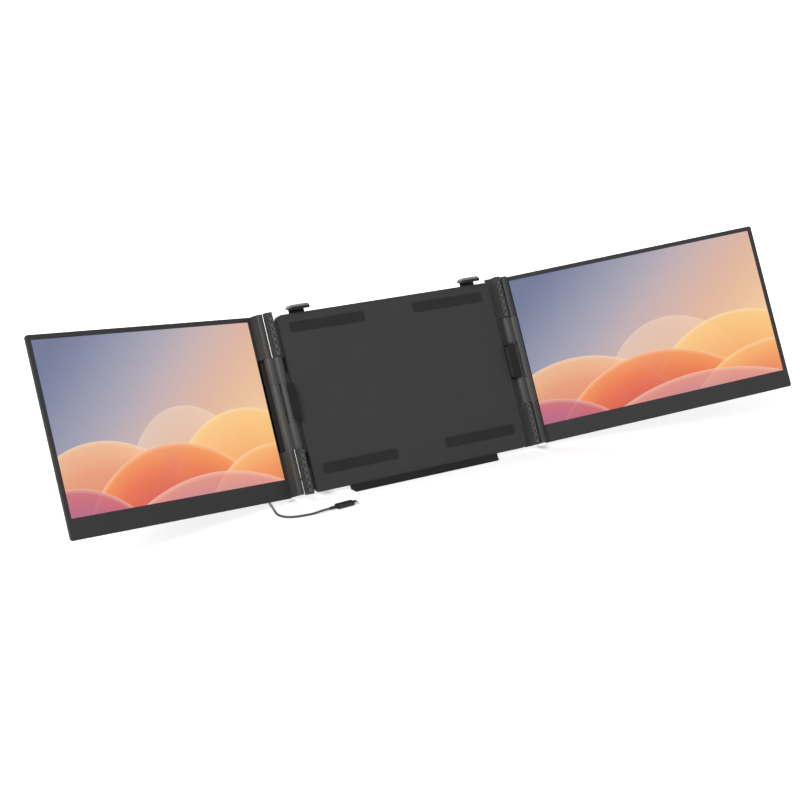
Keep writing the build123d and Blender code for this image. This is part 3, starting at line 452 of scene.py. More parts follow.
@dataclass(frozen=True)
class Jacket:
    """Cable jacket: matt and smooth, with a fine grain."""

    name: str
    colour: str
    shade: str
    gloss: float = 0.52
    swing: float = 0.12
    grain: float = 1400.0
    depth: float = 0.01
    relief: float = 0.5

    def build(self) -> Material:
        """Make the material."""
        nodes = Shader(self.name)
        fine = nodes.noise(nodes.coordinates(), self.grain)
        nodes.feed({
            "Base Color": nodes.mix(fine, self.colour, self.shade),
            "Roughness": nodes.swing(fine, self.gloss, self.swing),
        })
        nodes.bump(fine, self.depth, self.relief)
        return nodes.material


@dataclass(frozen=True)
class Disc:
    """One disc of the picture, in picture heights.

    Its colours run inwards over its reach, and cover is how much it hides.
    """

    across: float
    up: float
    radius: float
    reach: float
    cover: float
    stops: Stops


@dataclass(frozen=True)
class Picture:
    """The lit picture: overlapping sheer discs before a dusk sky, on the sheet's UV map."""

    name: str
    aspect: float = 16.0 / 9.0
    sky: Stops = ((0.0, "676f8e"), (0.15, "868ca6"), (0.32, "aba6b3"), (0.46, "ccb0ab"),
                  (0.6, "deb198"), (0.78, "eec597"), (1.0, "f8deb6"))
    sky_slope: tuple[float, float] = (0.62, -0.42)
    sky_start: float = 0.36
    discs: tuple[Disc, ...] = (
        Disc(1.02, 0.02, 0.52, 0.5, 0.42, ((0.0, "f7dcc0"), (0.45, "eec3a6"), (1.0, "e0a79b"))),
        Disc(1.52, -0.34, 0.82, 0.6, 0.86, ((0.0, "f9cf86"), (0.4, "f5ac5c"), (1.0, "e8824e"))),
        Disc(0.30, -0.46, 0.86, 0.5, 0.8, ((0.0, "f8c391"), (0.35, "f0925a"), (1.0, "dd6248"))),
        Disc(0.86, -0.60, 0.93, 0.42, 0.86,
             ((0.0, "f39a55"), (0.3, "e8683c"), (0.7, "cf4b47"), (1.0, "b74a64"))),
        Disc(1.74, -0.62, 0.86, 0.34, 0.84, ((0.0, "f7bd74"), (0.4, "ef8d55"), (1.0, "df6f55"))),
        Disc(0.02, -0.58, 0.74, 0.3, 0.84, ((0.0, "cf6a72"), (0.4, "b15680"), (1.0, "8d6493"))),
        Disc(1.18, -1.46, 1.58, 0.26, 0.8, ((0.0, "e79a86"), (0.45, "c98a94"), (1.0, "9a86a4"))),
    )
    rim: str = "fff0d4"
    halo: float = 34.0
    halo_share: float = 0.35
    line: float = 240.0
    line_share: float = 0.4
    edge: float = 420.0
    glass: tuple[float, float, float, float] = (0.004, 0.004, 0.005, 1.0)
    gloss: float = 0.42
    level: float = 0.25

    def inside(self, nodes: Nodes, across: Socket, up: Socket, disc: Disc) -> Socket:
        """How far inside a disc's edge a point lies: the radius less the distance to its centre."""
        along = nodes.math("SUBTRACT", across, disc.across)
        rise = nodes.math("SUBTRACT", up, disc.up)
        return nodes.math("SUBTRACT", disc.radius, nodes.length(along, rise))

    def build(self) -> Material:
        """Make the material: every disc lies over those before it, with a pale line at its edge."""
        nodes = Shader(self.name)
        u, v = nodes.parts(nodes.coordinates("UV"))
        warm = nodes.math("MULTIPLY_ADD", v, self.sky_slope[1], self.sky_start)
        picture = nodes.ramp(nodes.math("MULTIPLY_ADD", u, self.sky_slope[0], warm), self.sky)
        across = nodes.math("MULTIPLY", u, self.aspect)
        for disc in self.discs:
            inside = self.inside(nodes, across, v, disc)
            body = nodes.ramp(nodes.math("DIVIDE", inside, disc.reach, clamp=True), disc.stops)
            halo, line, edge = (nodes.math("MULTIPLY", inside, steep, clamp=True)
                                for steep in (self.halo, self.line, self.edge))
            halo, line = nodes.math("SUBTRACT", 1.0, halo), nodes.math("SUBTRACT", 1.0, line)
            glow = nodes.weigh(line, self.line_share, halo, self.halo_share)
            cover = nodes.math("MULTIPLY", edge, disc.cover)
            picture = nodes.mix(cover, picture, nodes.mix(glow, body, self.rim))
        nodes.feed({
            "Base Color": self.glass,
            "Roughness": self.gloss,
            "Specular IOR Level": self.level,
            "Emission Strength": 1.0,
            "Emission Color": picture,
        })
        return nodes.material


class Finish(Enum):
    """Every finish on the extender."""

    FRAME = Moulded("frame_moulding", "3a3a3b", "343434", 0.56, level=0.15)
    GUIDE = Moulded("guide_plastic", "242425", "1f1f20", 0.4, level=0.3)
    BEZEL = Moulded("bezel_moulding", "3c3b3c", "363536", 0.52, 0.22, 0.008, level=0.1)
    SHELL = Moulded("shell_moulding", "38383a", "323233", 0.54, 0.4, 0.025, level=0.15)
    BUTTON = Moulded("button_moulding", "252526", "202021", 0.36, 0.25, 0.01)
    PLUG = Moulded("plug_moulding", "0e0e0f", "0a0a0b", 0.34, 0.25, 0.006, level=0.35)
    FOAM = Moulded("soft_foam", "232324", "1b1b1c", 0.9, 0.5, 0.09, sheen=0.2, level=0.2)
    RUBBER = Moulded("rubber_moulding", "1a1a1a", "141414", 0.75, 0.3, 0.03, level=0.2)
    JAW = Moulded("jaw_coating", "1e1e1f", "171718", 0.6, 0.3, 0.02, level=0.15)
    # painted shade: near-black finish of the sheet laid where the recess by the link lies in shade
    FELT = Moulded("painted_shade_black", "030303", "010101", 0.95, 0.25, 0.05, level=0.0)
    DIFFUSER = Moulded("diffuser_sheet", "dedede", "d2d2d2", 0.5)
    GLASS = Moulded("coated_glass", "131315", "101012", 0.25, 0.15, 0.003)
    CASTING = Anodised("dark_casting", "484948", "404140", 0.52, 0.2, level=0.15)
    KNUCKLE = Anodised("knuckle_casting", "414140", "393939", 0.5, 0.2, level=0.15)
    LEVER = Anodised("link_metal", "4a4a4a", "424242", 0.5, 0.2, level=0.15)
    ARM = Anodised("black_arm", "222223", "1a1a1b", 0.45, 0.3, level=0.2)
    LEG = Anodised("leg_metal", "4a4a4a", "424242", 0.42, 0.5, (0.04, 1.0, 1.0))
    STEEL = Anodised("plain_steel", "a4a4a2", "8c8c8a", 0.3, 1.0, (0.05, 1.0, 1.0))
    DARK_STEEL = Anodised("black_screw", "3a3a3c", "2e2e30", 0.34, 0.9)
    PORT = Anodised("plated_port", "c2c2c0", "adadab", 0.24, 1.0)
    ENGRAVED = Engraved("engraved_metal", "555555", "4d4d4d", "0c0c0c", 0.5)
    # its cut colour is the lip's black and the painted shade on the hook's front wall
    CLIP = Engraved("clip_metal", "7c7c7c", "737373", "19191a", 0.3, 0.5, 0.4)
    BOARD = Board("lacquered_board")
    CABLE = Jacket("cable_sleeve", "3f3f41", "353537")
    PICTURE = Picture("screen_picture")

    def material(self) -> Material:
        """The finish's material, made once."""
        return bpy.data.materials.get(self.value.name) or self.value.build()


# -------- pieces
def link_object(name: str, data: bpy.types.ID, finish: Finish | None = None) -> Object:
    """Put an object in the scene, at the origin, and report it.

    Args:
        name: its name.
        data: its mesh, curve, lamp or camera.
        finish: its finish, if any.

    Returns:
        The object.
    """
    thing = bpy.data.objects.new(name, data)
    bpy.context.scene.collection.objects.link(thing)
    if finish:
        data.materials.append(finish.material())
    LOG.info("%s", name)
    return thing


def tube_piece(name: str, tubes: list[Array], finish: Finish, side: Side = Side.RIGHT,
               crease: float = 30.0, cut: Array | None = None) -> Object:
    """Closed tubes, each a stack of rings, as one finished piece.

    Args:
        name: name of the object and its mesh.
        tubes: arrays (rings, points, 3) in metres, points anticlockwise seen from the last ring.
        finish: its finish.
        side: the left side's points are mirrored, so its faces are turned round.
        crease: edges sharper than this many degrees stay sharp.
        cut: how deep the cut or how full the coat is at each point, for an engraved finish.

    Returns:
        The piece.
    """
    faces: list[list[int]] = []
    first = 0
    for tube in tubes:
        index = np.arange(tube[..., 0].size).reshape(tube.shape[:2]) + first
        faces += ring_faces(index)
        first += index.size
    if side is Side.LEFT:
        faces = [face[::-1] for face in faces]
    mesh = bpy.data.meshes.new(name)
    mesh.from_pydata(np.concatenate([tube.reshape(-1, 3) for tube in tubes]).tolist(), [], faces)
    mesh.shade_smooth()
    mesh.set_sharp_from_angle(angle=math.radians(crease))
    if cut is not None:
        mesh.attributes.new("cut", "FLOAT", "POINT").data.foreach_set("value", cut)
    mesh.update()
    return link_object(name, mesh, finish)


@dataclass(frozen=True)
class Part:
    """A CAD node and its finish; a round in millimetres breaks its edges, 0 leaves its solid."""

    label: str
    finish: Finish
    round: float = 0.0
    steps: int = 2
    merge: float = 0.002
    flat: float = 0.4
    sharp: float = 32.0

    def build(self, frame: dict, prefix: str = "") -> None:
        """Dress the node, or an eased copy that rides on its body and stands for it.

        Args:
            prefix: what stands before the label in the node's name.
        """
        node = prefix + self.label
        source = frame["nodes"][node]
        if not self.round:
            source.data.materials.clear()
            source.data.materials.append(self.finish.material())
            LOG.info("%s keeps its solid", node)
            return
        work = bmesh.new()
        work.from_mesh(source.data)
        bmesh.ops.remove_doubles(work, verts=work.verts, dist=self.merge * MM)
        bmesh.ops.dissolve_limit(work, angle_limit=math.radians(self.flat), verts=work.verts,
                                 edges=work.edges)
        mesh = bpy.data.meshes.new(node + "_eased")
        work.to_mesh(mesh)
        work.free()
        mesh.shade_smooth()
        thing = link_object(node + "_eased", mesh, self.finish)
        bevel = thing.modifiers.new("eased_edges", "BEVEL")
        bevel.width = self.round * MM
        bevel.segments = self.steps
        bevel.limit_method = "ANGLE"
        bevel.angle_limit = math.radians(self.sharp)
        even = thing.modifiers.new("even_normals", "WEIGHTED_NORMAL")
        even.mode = "FACE_AREA"
        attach(thing, source["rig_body"])
        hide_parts(node)


# -------- sub-assemblies
@dataclass
class LinkBar:
    """Bar between column and screen: two round lobes, a shallow channel, a notch for the jaw."""

    lobe: float = 6.4
    web: float = 3.7
    notch: float = 9.77
    low: float = -69.0
    notch_low: float = -33.0
    notch_high: float = 20.0
    high: float = 56.0
    rim: float = 0.5
    count: int = 144
    least: float = 0.5
    power: float = 24.0
    swell: float = 1.01
    shift: float = 2.2

    def full_profile(self) -> Array:
        """Outline round both lobes.

        From the middle of the bar, each ray goes to the farthest of its exits from the two lobes'
        circles and the web's box. A soft maximum, the root of their summed powers, rounds the
        creases.
        """
        ray = rays(self.count)
        half = HINGE_PITCH / 2
        box = np.array((half, self.web)) / np.maximum(np.abs(ray), 1e-6)
        limits = [box.min(axis=1)]
        for centre in (-half, half):
            along = ray[:, 0] * centre
            under = self.lobe ** 2 - (half ** 2 - along ** 2)
            leave = np.where(under > 0, along + np.sqrt(np.maximum(under, 0.0)), 0.0)
            limits.append(np.maximum(leave, self.least))
        stack = np.stack(limits)
        soft = np.sum(stack ** self.power, axis=0) ** (1 / self.power)
        reach = np.minimum(soft, np.max(stack, axis=0) * self.swell)
        return np.array((COLUMN_AXIS_X + half, AXIS_Y)) + ray * reach[:, None]

    def bitten_profile(self) -> Array:
        """Screen lobe less the notch.

        From a point shifted outwards from the screen's axis, each ray ends at the lobe's circle or
        at the notch's circle round the column's axis, whichever is nearer.
        """
        ray = rays(self.count)
        start = np.array((self.shift, 0.0))
        along = ray @ start
        leave = -along + np.sqrt(along ** 2 - start @ start + self.lobe ** 2)
        away = start + np.array((HINGE_PITCH, 0.0))
        toward = ray @ away
        under = toward ** 2 - away @ away + self.notch ** 2
        enter = -toward - np.sqrt(np.maximum(under, 0.0))
        bite = np.where((under > 0) & (toward < 0), enter, FAR)
        middle = np.array((SCREEN_AXIS_X, AXIS_Y)) + start
        return middle + ray * np.minimum(leave, bite)[:, None]

    def build(self, side: Side) -> None:
        """Make one side's bar in place of its CAD node."""
        full, notch = self.full_profile(), (self.notch_low, self.notch_high, HAIR, 1)
        circle = np.array((COLUMN_AXIS_X, AXIS_Y)) + rays(self.count) * self.lobe
        pieces = [
            rounded_stack(full, self.low, self.notch_low, self.rim),
            rounded_stack(full, self.notch_high, self.high, self.rim),
            rounded_stack(circle, *notch),
            rounded_stack(self.bitten_profile(), *notch),
        ]
        thing = tube_piece(f"{side.word}_link_casting", [on_side(piece, side) for piece in pieces],
                           Finish.LEVER, side)
        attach(thing, f"{side.word}_link")
        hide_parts(f"{side.word}_link_bar")


@dataclass
class BlockCovers:
    """Engraved plates on the hinge blocks: a lattice of crossing lines inside a plain border."""

    inner: float = 5.6
    outer: float = 4.2
    front: float = -0.2
    back: float = 0.6
    spans: tuple[tuple[float, float], ...] = ((-130.7, -69.5), (56.5, 117.1))
    round: float = 0.7
    pitch: float = 9.4
    line: float = 0.78
    cut: float = 0.32
    margin: float = 0.6
    across: int = 68
    step: float = 0.16
    crease: float = 50.0

    def cut_share(self, x: Array, z: Array, low: float, high: float) -> Array:
        """How deep the cut is at each point, from 0 to 1.

        The lattice's lines are where z + x and z - x pass whole pitches, and one line runs round
        the border. A line is full up to a quarter of its width from its middle, and fades evenly
        to nothing at three quarters.

        Args:
            x: x of each point.
            z: z of each point.
            low: the plate's lower end.
            high: its upper end.

        Returns:
            The shares.
        """
        x = x - (COLUMN_AXIS_X + (self.outer - self.inner) / 2)
        near = np.full(x.shape, FAR)
        for way in (x, -x):
            phase = ((z - low) + way) / self.pitch
            off_line = np.abs(phase - np.round(phase)) * self.pitch / math.sqrt(2)
            near = np.minimum(near, off_line)
        edge = np.minimum.reduce(((self.inner + self.outer) / 2 - np.abs(x), z - low, high - z))
        near = np.where(edge > self.margin, near, FAR)
        near = np.minimum(near, np.abs(edge - self.margin))
        return np.clip(1.5 - near / (self.line / 2), 0.0, 1.0)

    def build(self, side: Side) -> None:
        """Make one side's two plates in place of their CAD node.

        Each is a grid of heights: a quarter-round rim, sunk by the cut where a line runs, closed
        by a flat back.
        """
        tubes, shares = [], []
        x = COLUMN_AXIS_X + np.linspace(-self.inner, self.outer, self.across)
        for low, high in self.spans:
            z = np.linspace(low, high, int((high - low) / self.step))
            grid_z, grid_x = np.meshgrid(z, x, indexing="ij")
            share = self.cut_share(grid_x, grid_z, low, high)
            edge = np.minimum.reduce((grid_x - x[0], x[-1] - grid_x, grid_z - low, high - grid_z))
            dip = np.clip(self.round - edge, 0.0, self.round)
            rim = self.round - np.sqrt(self.round ** 2 - dip ** 2)
            front = np.stack((grid_x, self.front + rim + self.cut * share, grid_z), -1)
            ends = np.array((x[-1], x[0]))[None]
            rear = np.stack(np.broadcast_arrays(ends, self.back, z[:, None]), -1)
            tubes.append(on_side(np.concatenate((front, rear), 1), side))
            shares.append(np.concatenate((share, np.zeros((len(z), 2))), 1).ravel())
        thing = tube_piece(f"{side.word}_engraved_covers", tubes, Finish.ENGRAVED, side,
                           self.crease, np.concatenate(shares))
        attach(thing, f"{side.word}_column")
        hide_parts(f"{side.word}_column_covers")


@dataclass
class Column:
    """One side's column: spine, arms, hinge blocks, jaw and its lining."""

    parts: tuple[Part, ...] = (
        Part("column_spine", Finish.CASTING, 0.5),
        Part("column_arms", Finish.ARM, 0.25),
        Part("column_blocks", Finish.CASTING, 0.3),
        Part("jaw", Finish.JAW, 0.6, 3),
        Part("jaw_pad", Finish.FOAM, 0.2),
        Part("column_shafts", Finish.STEEL),
        Part("link_washers", Finish.STEEL),
    )

    def build(self, frame: dict, side: Side) -> None:
        """Dress the column's nodes and make its covers and link bar."""
        for part in self.parts:
            part.build(frame, f"{side.word}_")
        BlockCovers().build(side)
        LinkBar().build(side)


@dataclass
class Screen:
    """One side's screen: bezel, picture, glass, cover, bracket, sockets and buttons."""

    left: float = 11.2
    width: float = 381.9
    low: float = -105.1
    height: float = 214.8
    front: float = 11.18
    thickness: float = 0.1
    columns: int = 65
    rows: int = 37
    face: float = 10.3
    inner_edge: float = 5.8
    recess_edge: float = 8.2
    recess_depth: float = 4.0
    recess_span: tuple[float, float] = (-69.0, 56.0)
    # thickness of the painted-shade sheet, and its gap from the picture
    shade_skin: float = 0.12
    shade_gap: float = 0.1
    parts: tuple[Part, ...] = (
        Part("screen_bezel", Finish.BEZEL, 0.2),
        Part("screen_rear_cover", Finish.SHELL, 0.5, 3),
        Part("screen_hinge", Finish.KNUCKLE, 0.5, 3),
        Part("screen_ports", Finish.PORT, 0.1),
        Part("screen_screws", Finish.DARK_STEEL, 0.15),
        Part("power_button", Finish.BUTTON, 0.3),
        Part("menu_button", Finish.BUTTON, 0.3),
        Part("lcd_panel", Finish.GLASS),
        Part("backlight", Finish.DIFFUSER),
        Part("driver_board", Finish.BOARD),
        Part("screen_shafts", Finish.STEEL),
    )

    def picture(self, side: Side) -> None:
        """Thin lit sheet in front of the glass.

        Both faces are even grids, u of the width along and v of the height up, and quads join
        their rims. The UV map runs over them from the viewer's left.
        """
        u, v = np.meshgrid(np.linspace(0, 1, self.columns), np.linspace(0, 1, self.rows))
        x, z = self.left + u * self.width, self.low + v * self.height
        faces_at = (self.front, self.front + self.thickness)
        sheets = np.stack([np.stack((x, np.full(u.shape, y), z), -1) for y in faces_at])
        points = on_screen(sheets, side).reshape(-1, 3)
        index = np.arange(u.size).reshape(u.shape)
        quads = (index[:-1, :-1], index[:-1, 1:], index[1:, 1:], index[1:, :-1])
        face = np.stack(quads, -1).reshape(-1, 4)
        loop = np.concatenate((index[0], index[1:, -1], index[-1, -2::-1], index[-2:0:-1, 0]))
        follow = np.roll(loop, -1)
        rim = np.stack((follow, loop, loop + u.size, follow + u.size), -1)
        faces = np.concatenate((face, face[:, ::-1] + u.size, rim))
        if side is Side.LEFT:
            faces, u = faces[:, ::-1], 1 - u
        mesh = bpy.data.meshes.new(f"{side.word}_picture")
        mesh.from_pydata(points.tolist(), [], faces.tolist())
        corner = np.empty(len(mesh.loops), dtype=np.int32)
        mesh.loops.foreach_get("vertex_index", corner)
        spread = np.stack((np.tile(u.ravel(), 2), np.tile(v.ravel(), 2)), -1)
        mesh.uv_layers.new(name="picture").data.foreach_set("uv", spread[corner].ravel())
        mesh.update()
        thing = link_object(f"{side.word}_picture", mesh, Finish.PICTURE)
        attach(thing, f"{side.word}_screen")

    def liner(self, side: Side) -> None:
        """Painted shade: a near-black sheet in the recess beside the link and on the strip of bezel
        next to it, standing in for the deep shade there.
        """
        face, floor = self.face, self.face + self.recess_depth
        strip, step, edge = self.left - self.shade_gap, self.recess_edge, self.inner_edge
        skin = self.shade_skin
        outline = np.array((
            (strip, face), (step, face), (step, floor), (edge, floor), (edge, floor - skin),
            (step - skin, floor - skin), (step - skin, face - skin), (strip, face - skin),
        ))
        low, high = self.recess_span
        rings = rounded_stack(outline, low + skin, high - skin, HAIR, 1)
        thing = tube_piece(f"{side.word}_painted_shade_liner", [on_screen(rings, side)], Finish.FELT, side)
        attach(thing, f"{side.word}_screen")

    def build(self, frame: dict, side: Side) -> None:
        """Dress the screen's nodes and add its picture and its sheet of painted shade."""
        self.liner(side)
        for part in self.parts:
            part.build(frame, f"{side.word}_")
        self.picture(side)


@dataclass
class TopClip:
    """Hook over the lid: a rounded satin cap above a dull black lip, whose black runs up the front
    wall as painted shade, on a flat stem.
    """

    middle: float = 142.0
    width: float = 30.5
    front: float = -2.3
    lip_back: float = -0.8
    back: float = 11.3
    low: float = 115.1
    seat: float = 117.7
    top: float = 122.9
    nose: float = 4.4
    heel: float = 2.0
    shoulder: float = 4.0
    squeeze: float = 0.4
    arc_steps: int = 8
    stem_width: float = 24.0
    stem_front: float = 9.3
    stem_low: float = 72.7
    stem_corner: float = 0.5
    stem_rim: float = 0.3
    stem_count: int = 32
    overlap: float = 1.0
    lip_and_shade_edge: float = 118.9
    lip_and_shade_fade: float = 0.8
    crease: float = 40.0

    def section(self) -> Array:
        """Hook's section in y and z: lip, seat, heel's arc, flat top, nose's arc, front wall."""
        turn = np.linspace(0.0, math.pi / 2, self.arc_steps + 1)
        cos, sin = np.cos(turn), np.sin(turn)
        heel = np.array((self.back, self.top)) - self.heel + np.stack((cos, sin), 1) * self.heel
        middle = np.array((self.front + self.nose, self.top - self.nose))
        nose = middle + np.stack((-sin, cos), 1) * self.nose
        foot = ((self.front, self.low), (self.lip_back, self.low), (self.lip_back, self.seat),
                (self.back, self.seat))
        height = np.linspace(self.top - self.nose, self.low, self.arc_steps + 1)[1:-1]
        wall = np.stack((np.full(len(height), self.front), height), 1)
        return np.concatenate((foot, heel, nose, wall))

    def hook(self) -> Array:
        """Rings of the hook along x.

        Each end is drawn in over its last few millimetres: for a from 0 to a quarter turn, the ring
        lies shoulder * (1 - cos a) from the end and its heights from the seat are multiplied by
        1 - squeeze * (1 - sin a); the lip thins from the front by the same share.
        """
        sink, rise = quarter_round(self.arc_steps)
        inset, share = self.shoulder * rise, 1 - self.squeeze * sink
        half = self.width / 2
        x = np.concatenate((inset - half, (half - inset)[::-1])) + self.middle
        share = np.concatenate((share, share[::-1]))[:, None]
        y, z = self.section().T
        deep = np.where(y < self.lip_back, self.lip_back + (y - self.lip_back) * share, y)
        tall = self.seat + (z - self.seat) * share
        return np.stack((np.broadcast_to(x[:, None], tall.shape), deep, tall), -1)

    def stem(self) -> Array:
        """Rings of the flat stem, its edges rounded, from the frame up into the hook."""
        ray = rays(self.stem_count, math.pi / self.stem_count)
        half = np.array((self.stem_width, self.back - self.stem_front)) / 2 - self.stem_corner
        place = np.array((self.middle, (self.back + self.stem_front) / 2))
        outline = place + np.sign(ray) * half + ray * self.stem_corner
        return rounded_stack(outline, self.stem_low, self.seat + self.overlap, self.stem_rim)

    def build(self, frame: dict, side: Side) -> None:
        """Make one side's clip in place of its CAD node."""
        node = f"{side.word}_top_clip"
        hook, stem = self.hook(), self.stem()
        height = np.tile(self.section()[:, 1], len(hook))
        # black below a set height: the lip's own colour, and painted shade on the front wall under
        # the lit nose; the stem is black all over
        lip_and_shade = np.clip((self.lip_and_shade_edge - height) / self.lip_and_shade_fade + 0.5, 0.0, 1.0)
        lip_and_shade = np.concatenate((lip_and_shade, np.ones(stem[..., 0].size)))
        thing = tube_piece(f"{node}_hook", [on_side(hook, side), on_side(stem, side)], Finish.CLIP,
                           side, self.crease, lip_and_shade)
        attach(thing, frame["nodes"][node]["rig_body"])
        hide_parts(node)


@dataclass
class LeaningFrame:
    """The frame behind the lid with its clips, pads, foot, kickstand and hub board."""

    parts: tuple[Part, ...] = (
        Part("frame_front_plate", Finish.FRAME, 0.4),
        Part("frame_rear_shell", Finish.FRAME, 0.7, 3),
        Part("front_pads", Finish.FOAM, 0.3),
        Part("foot_strip", Finish.RUBBER, 0.5),
        Part("frame_screws", Finish.DARK_STEEL, 0.2),
        Part("frame_usb_port", Finish.PORT, 0.08),
        Part("kickstand_panel", Finish.LEG, 0.5),
        Part("kickstand_foot", Finish.RUBBER, 0.2),
        Part("kickstand_hinges", Finish.STEEL, 0.25),
        Part("kickstand_pin", Finish.STEEL),
        Part("arm_guides", Finish.GUIDE),
        Part("hub_board", Finish.BOARD),
    )
    clip_pad: Part = Part("clip_pad", Finish.FOAM, 0.2)

    def build(self, frame: dict) -> None:
        """Dress the frame's nodes and make its clips."""
        for part in self.parts:
            part.build(frame)
        for side in Side:
            TopClip().build(frame, side)
            self.clip_pad.build(frame, f"{side.word}_")


@dataclass
class PlugForm:
    """Moulded USB-C plug: metal tongue, squarish body, ribbed relief, along y from the tip."""

    tongue: float = 6.5
    tongue_width: float = 8.3
    tongue_height: float = 2.4
    tongue_power: float = 5.0
    tip: tuple[float, float] = (0.3, 0.25)
    overlap: float = 0.2
    body: float = 26.5
    width: float = 10.6
    height: float = 5.9
    power: float = 4.2
    rim: float = 0.9
    rim_steps: int = 4
    relief: float = 11.0
    wide: float = 2.3
    narrow: float = 2.05
    ribs: int = 5
    rib_steps: int = 8
    rib_depth: float = 0.22
    count: int = 48
    crease: float = 40.0

    def rings(self, half_width: Array, half_height: Array, power: float, along: Array) -> Array:
        """Superellipses: |x / a| ** p + |z / b| ** p = 1 at each place along y.

        Args:
            half_width: a of each ring.
            half_height: b of each ring.
            power: p of all of them.
            along: their places.

        Returns:
            Rings, array (n, count, 3).
        """
        cos, sin = rays(self.count).T[:, None]
        x = -half_width[:, None] * np.sign(cos) * np.abs(cos) ** (2.0 / power)
        z = half_height[:, None] * np.sign(sin) * np.abs(sin) ** (2.0 / power)
        return np.stack((x, np.broadcast_to(along[:, None], x.shape), z), -1)

    def body_rings(self) -> Array:
        """Body with rounded rims, then the relief, whose radius shrinks once for each rib."""
        inset, rise = (self.rim * share for share in quarter_round(self.rim_steps))
        inset = np.concatenate((inset, inset[::-1]))
        along = self.tongue + np.concatenate((rise, self.body - rise[::-1]))
        body = self.rings(self.width / 2 - inset, self.height / 2 - inset, self.power, along)
        share = np.linspace(0.0, 1.0, self.rib_steps * self.ribs + 1)
        waist = (1 - np.cos(2 * math.pi * self.ribs * share)) / 2
        radius = self.wide + (self.narrow - self.wide) * share - self.rib_depth * waist
        tail = self.rings(radius, radius, 2.0, self.tongue + self.body + share * self.relief)
        return np.concatenate((body, tail))

    def tongue_rings(self) -> Array:
        """Metal tongue, a little eased at its tip."""
        length, inset = self.tip
        along = np.array((0.0, length, self.tongue + self.overlap))
        inset = np.array((inset, 0.0, 0.0))
        half_width, half_height = self.tongue_width / 2 - inset, self.tongue_height / 2 - inset
        return self.rings(half_width, half_height, self.tongue_power, along)

    def build(self, node: str, place: Matrix) -> Object:
        """Make one plug in place of its CAD node.

        Args:
            node: the CAD node.
            place: from the plug's own millimetres to the row frame.

        Returns:
            The moulded body, which carries the tongue.
        """
        turn, shift = np.array(place.to_3x3()), np.array(place.translation)
        body, tongue = (
            tube_piece(f"{node}_{label}", [rings @ turn.T + shift], finish, crease=self.crease)
            for label, rings, finish in (("body", self.body_rings(), Finish.PLUG),
                                         ("tongue", self.tongue_rings(), Finish.PORT))
        )
        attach(body, "frame")
        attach(tongue, "frame")
        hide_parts(node)
        return body


@dataclass
class Cable:
    """Round cable from the frame's socket, given upright in millimetres, to the loose plug."""

    radius: float = 0.0015
    length: float = 0.2779
    route: tuple[Point, ...] = (
        (-0.15, 0.04679, 0.00539), (-0.15, 0.05514, 0.0015), (-0.154, 0.0698, 0.0015),
        (-0.164, 0.0805, 0.0015), (-0.1785, 0.0845, 0.0015), (-0.193, 0.081, 0.0015),
        (-0.2055, 0.072, 0.0015), (-0.216, 0.06, 0.0015), (-0.2255, 0.0455, 0.0015),
        (-0.234, 0.03, 0.0015), (-0.2405, 0.0135, 0.0015), (-0.2455, -0.0025, 0.0015),
        (-0.2512, -0.0182, 0.0015), (-0.2554, -0.0325, 0.0015), (-0.2518, -0.0448, 0.0015),
        (-0.2405, -0.0515, 0.0015), (-0.2265, -0.0536, 0.0015), (-0.213, -0.0544, 0.0015),
        (-0.20095, -0.05413, 0.003), (-0.188, -0.053, 0.003),
    )
    loose_turn: float = 5.0
    socket: Point = (-150.0, 17.0, -112.0)
    plug_gap: float = 0.5

    def build(self) -> None:
        """Make the cable and both plugs."""
        curve = bpy.data.curves.new("usb_cable", "CURVE")
        curve.dimensions = "3D"
        curve.bevel_depth = self.radius
        curve.bevel_resolution = 6
        curve.resolution_u = 16
        curve.use_fill_caps = True
        spline = curve.splines.new("NURBS")
        spline.points.add(len(self.route) - 1)
        spline.points.foreach_set("co", np.insert(self.route, 3, 1.0, axis=1).ravel())
        spline.order_u = 3
        spline.use_endpoint_u = True
        thing = link_object("usb_cable", curve, Finish.CABLE)
        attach(thing, "frame")
        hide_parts("cable")
        form = PlugForm()
        scale = Matrix.Scale(MM, 4)
        tip = np.array(self.socket) + (0.0, self.plug_gap - form.tongue, 0.0)
        place = Matrix.Translation(Vector(stand(tip))) @ Matrix.Rotation(-LEAN, 4, "X")
        frame_plug = form.build("cable_frame_plug", place @ scale)
        spin = Matrix.Rotation(math.radians(90 + self.loose_turn), 4, "Z")
        reach = Vector((0.0, -(form.tongue + form.body + form.relief) * MM, 0.0))
        place = Matrix.Translation(Vector(self.route[-1]) + spin @ reach) @ spin
        loose_plug = form.build("cable_loose_plug", place @ scale)


# -------- studio
@dataclass(frozen=True)
class Lamp:
    """Square area lamp: its place, the height it looks at, its side in metres, its watts."""

    name: str
    place: Point
    aim: float
    size: float
    watts: float

    def build(self) -> None:
        """Put the lamp in the scene, aimed at a point above the origin."""
        data = bpy.data.lights.new(self.name, "AREA")
        data.shape = "SQUARE"
        data.size = self.size
        data.energy = self.watts
        place = Vector(self.place)
        turn = (Vector((0.0, 0.0, self.aim)) - place).to_track_quat("-Z", "Y").to_matrix()
        lamp = link_object(self.name, data)
        lamp.matrix_world = Matrix.Translation(place) @ turn.to_4x4()


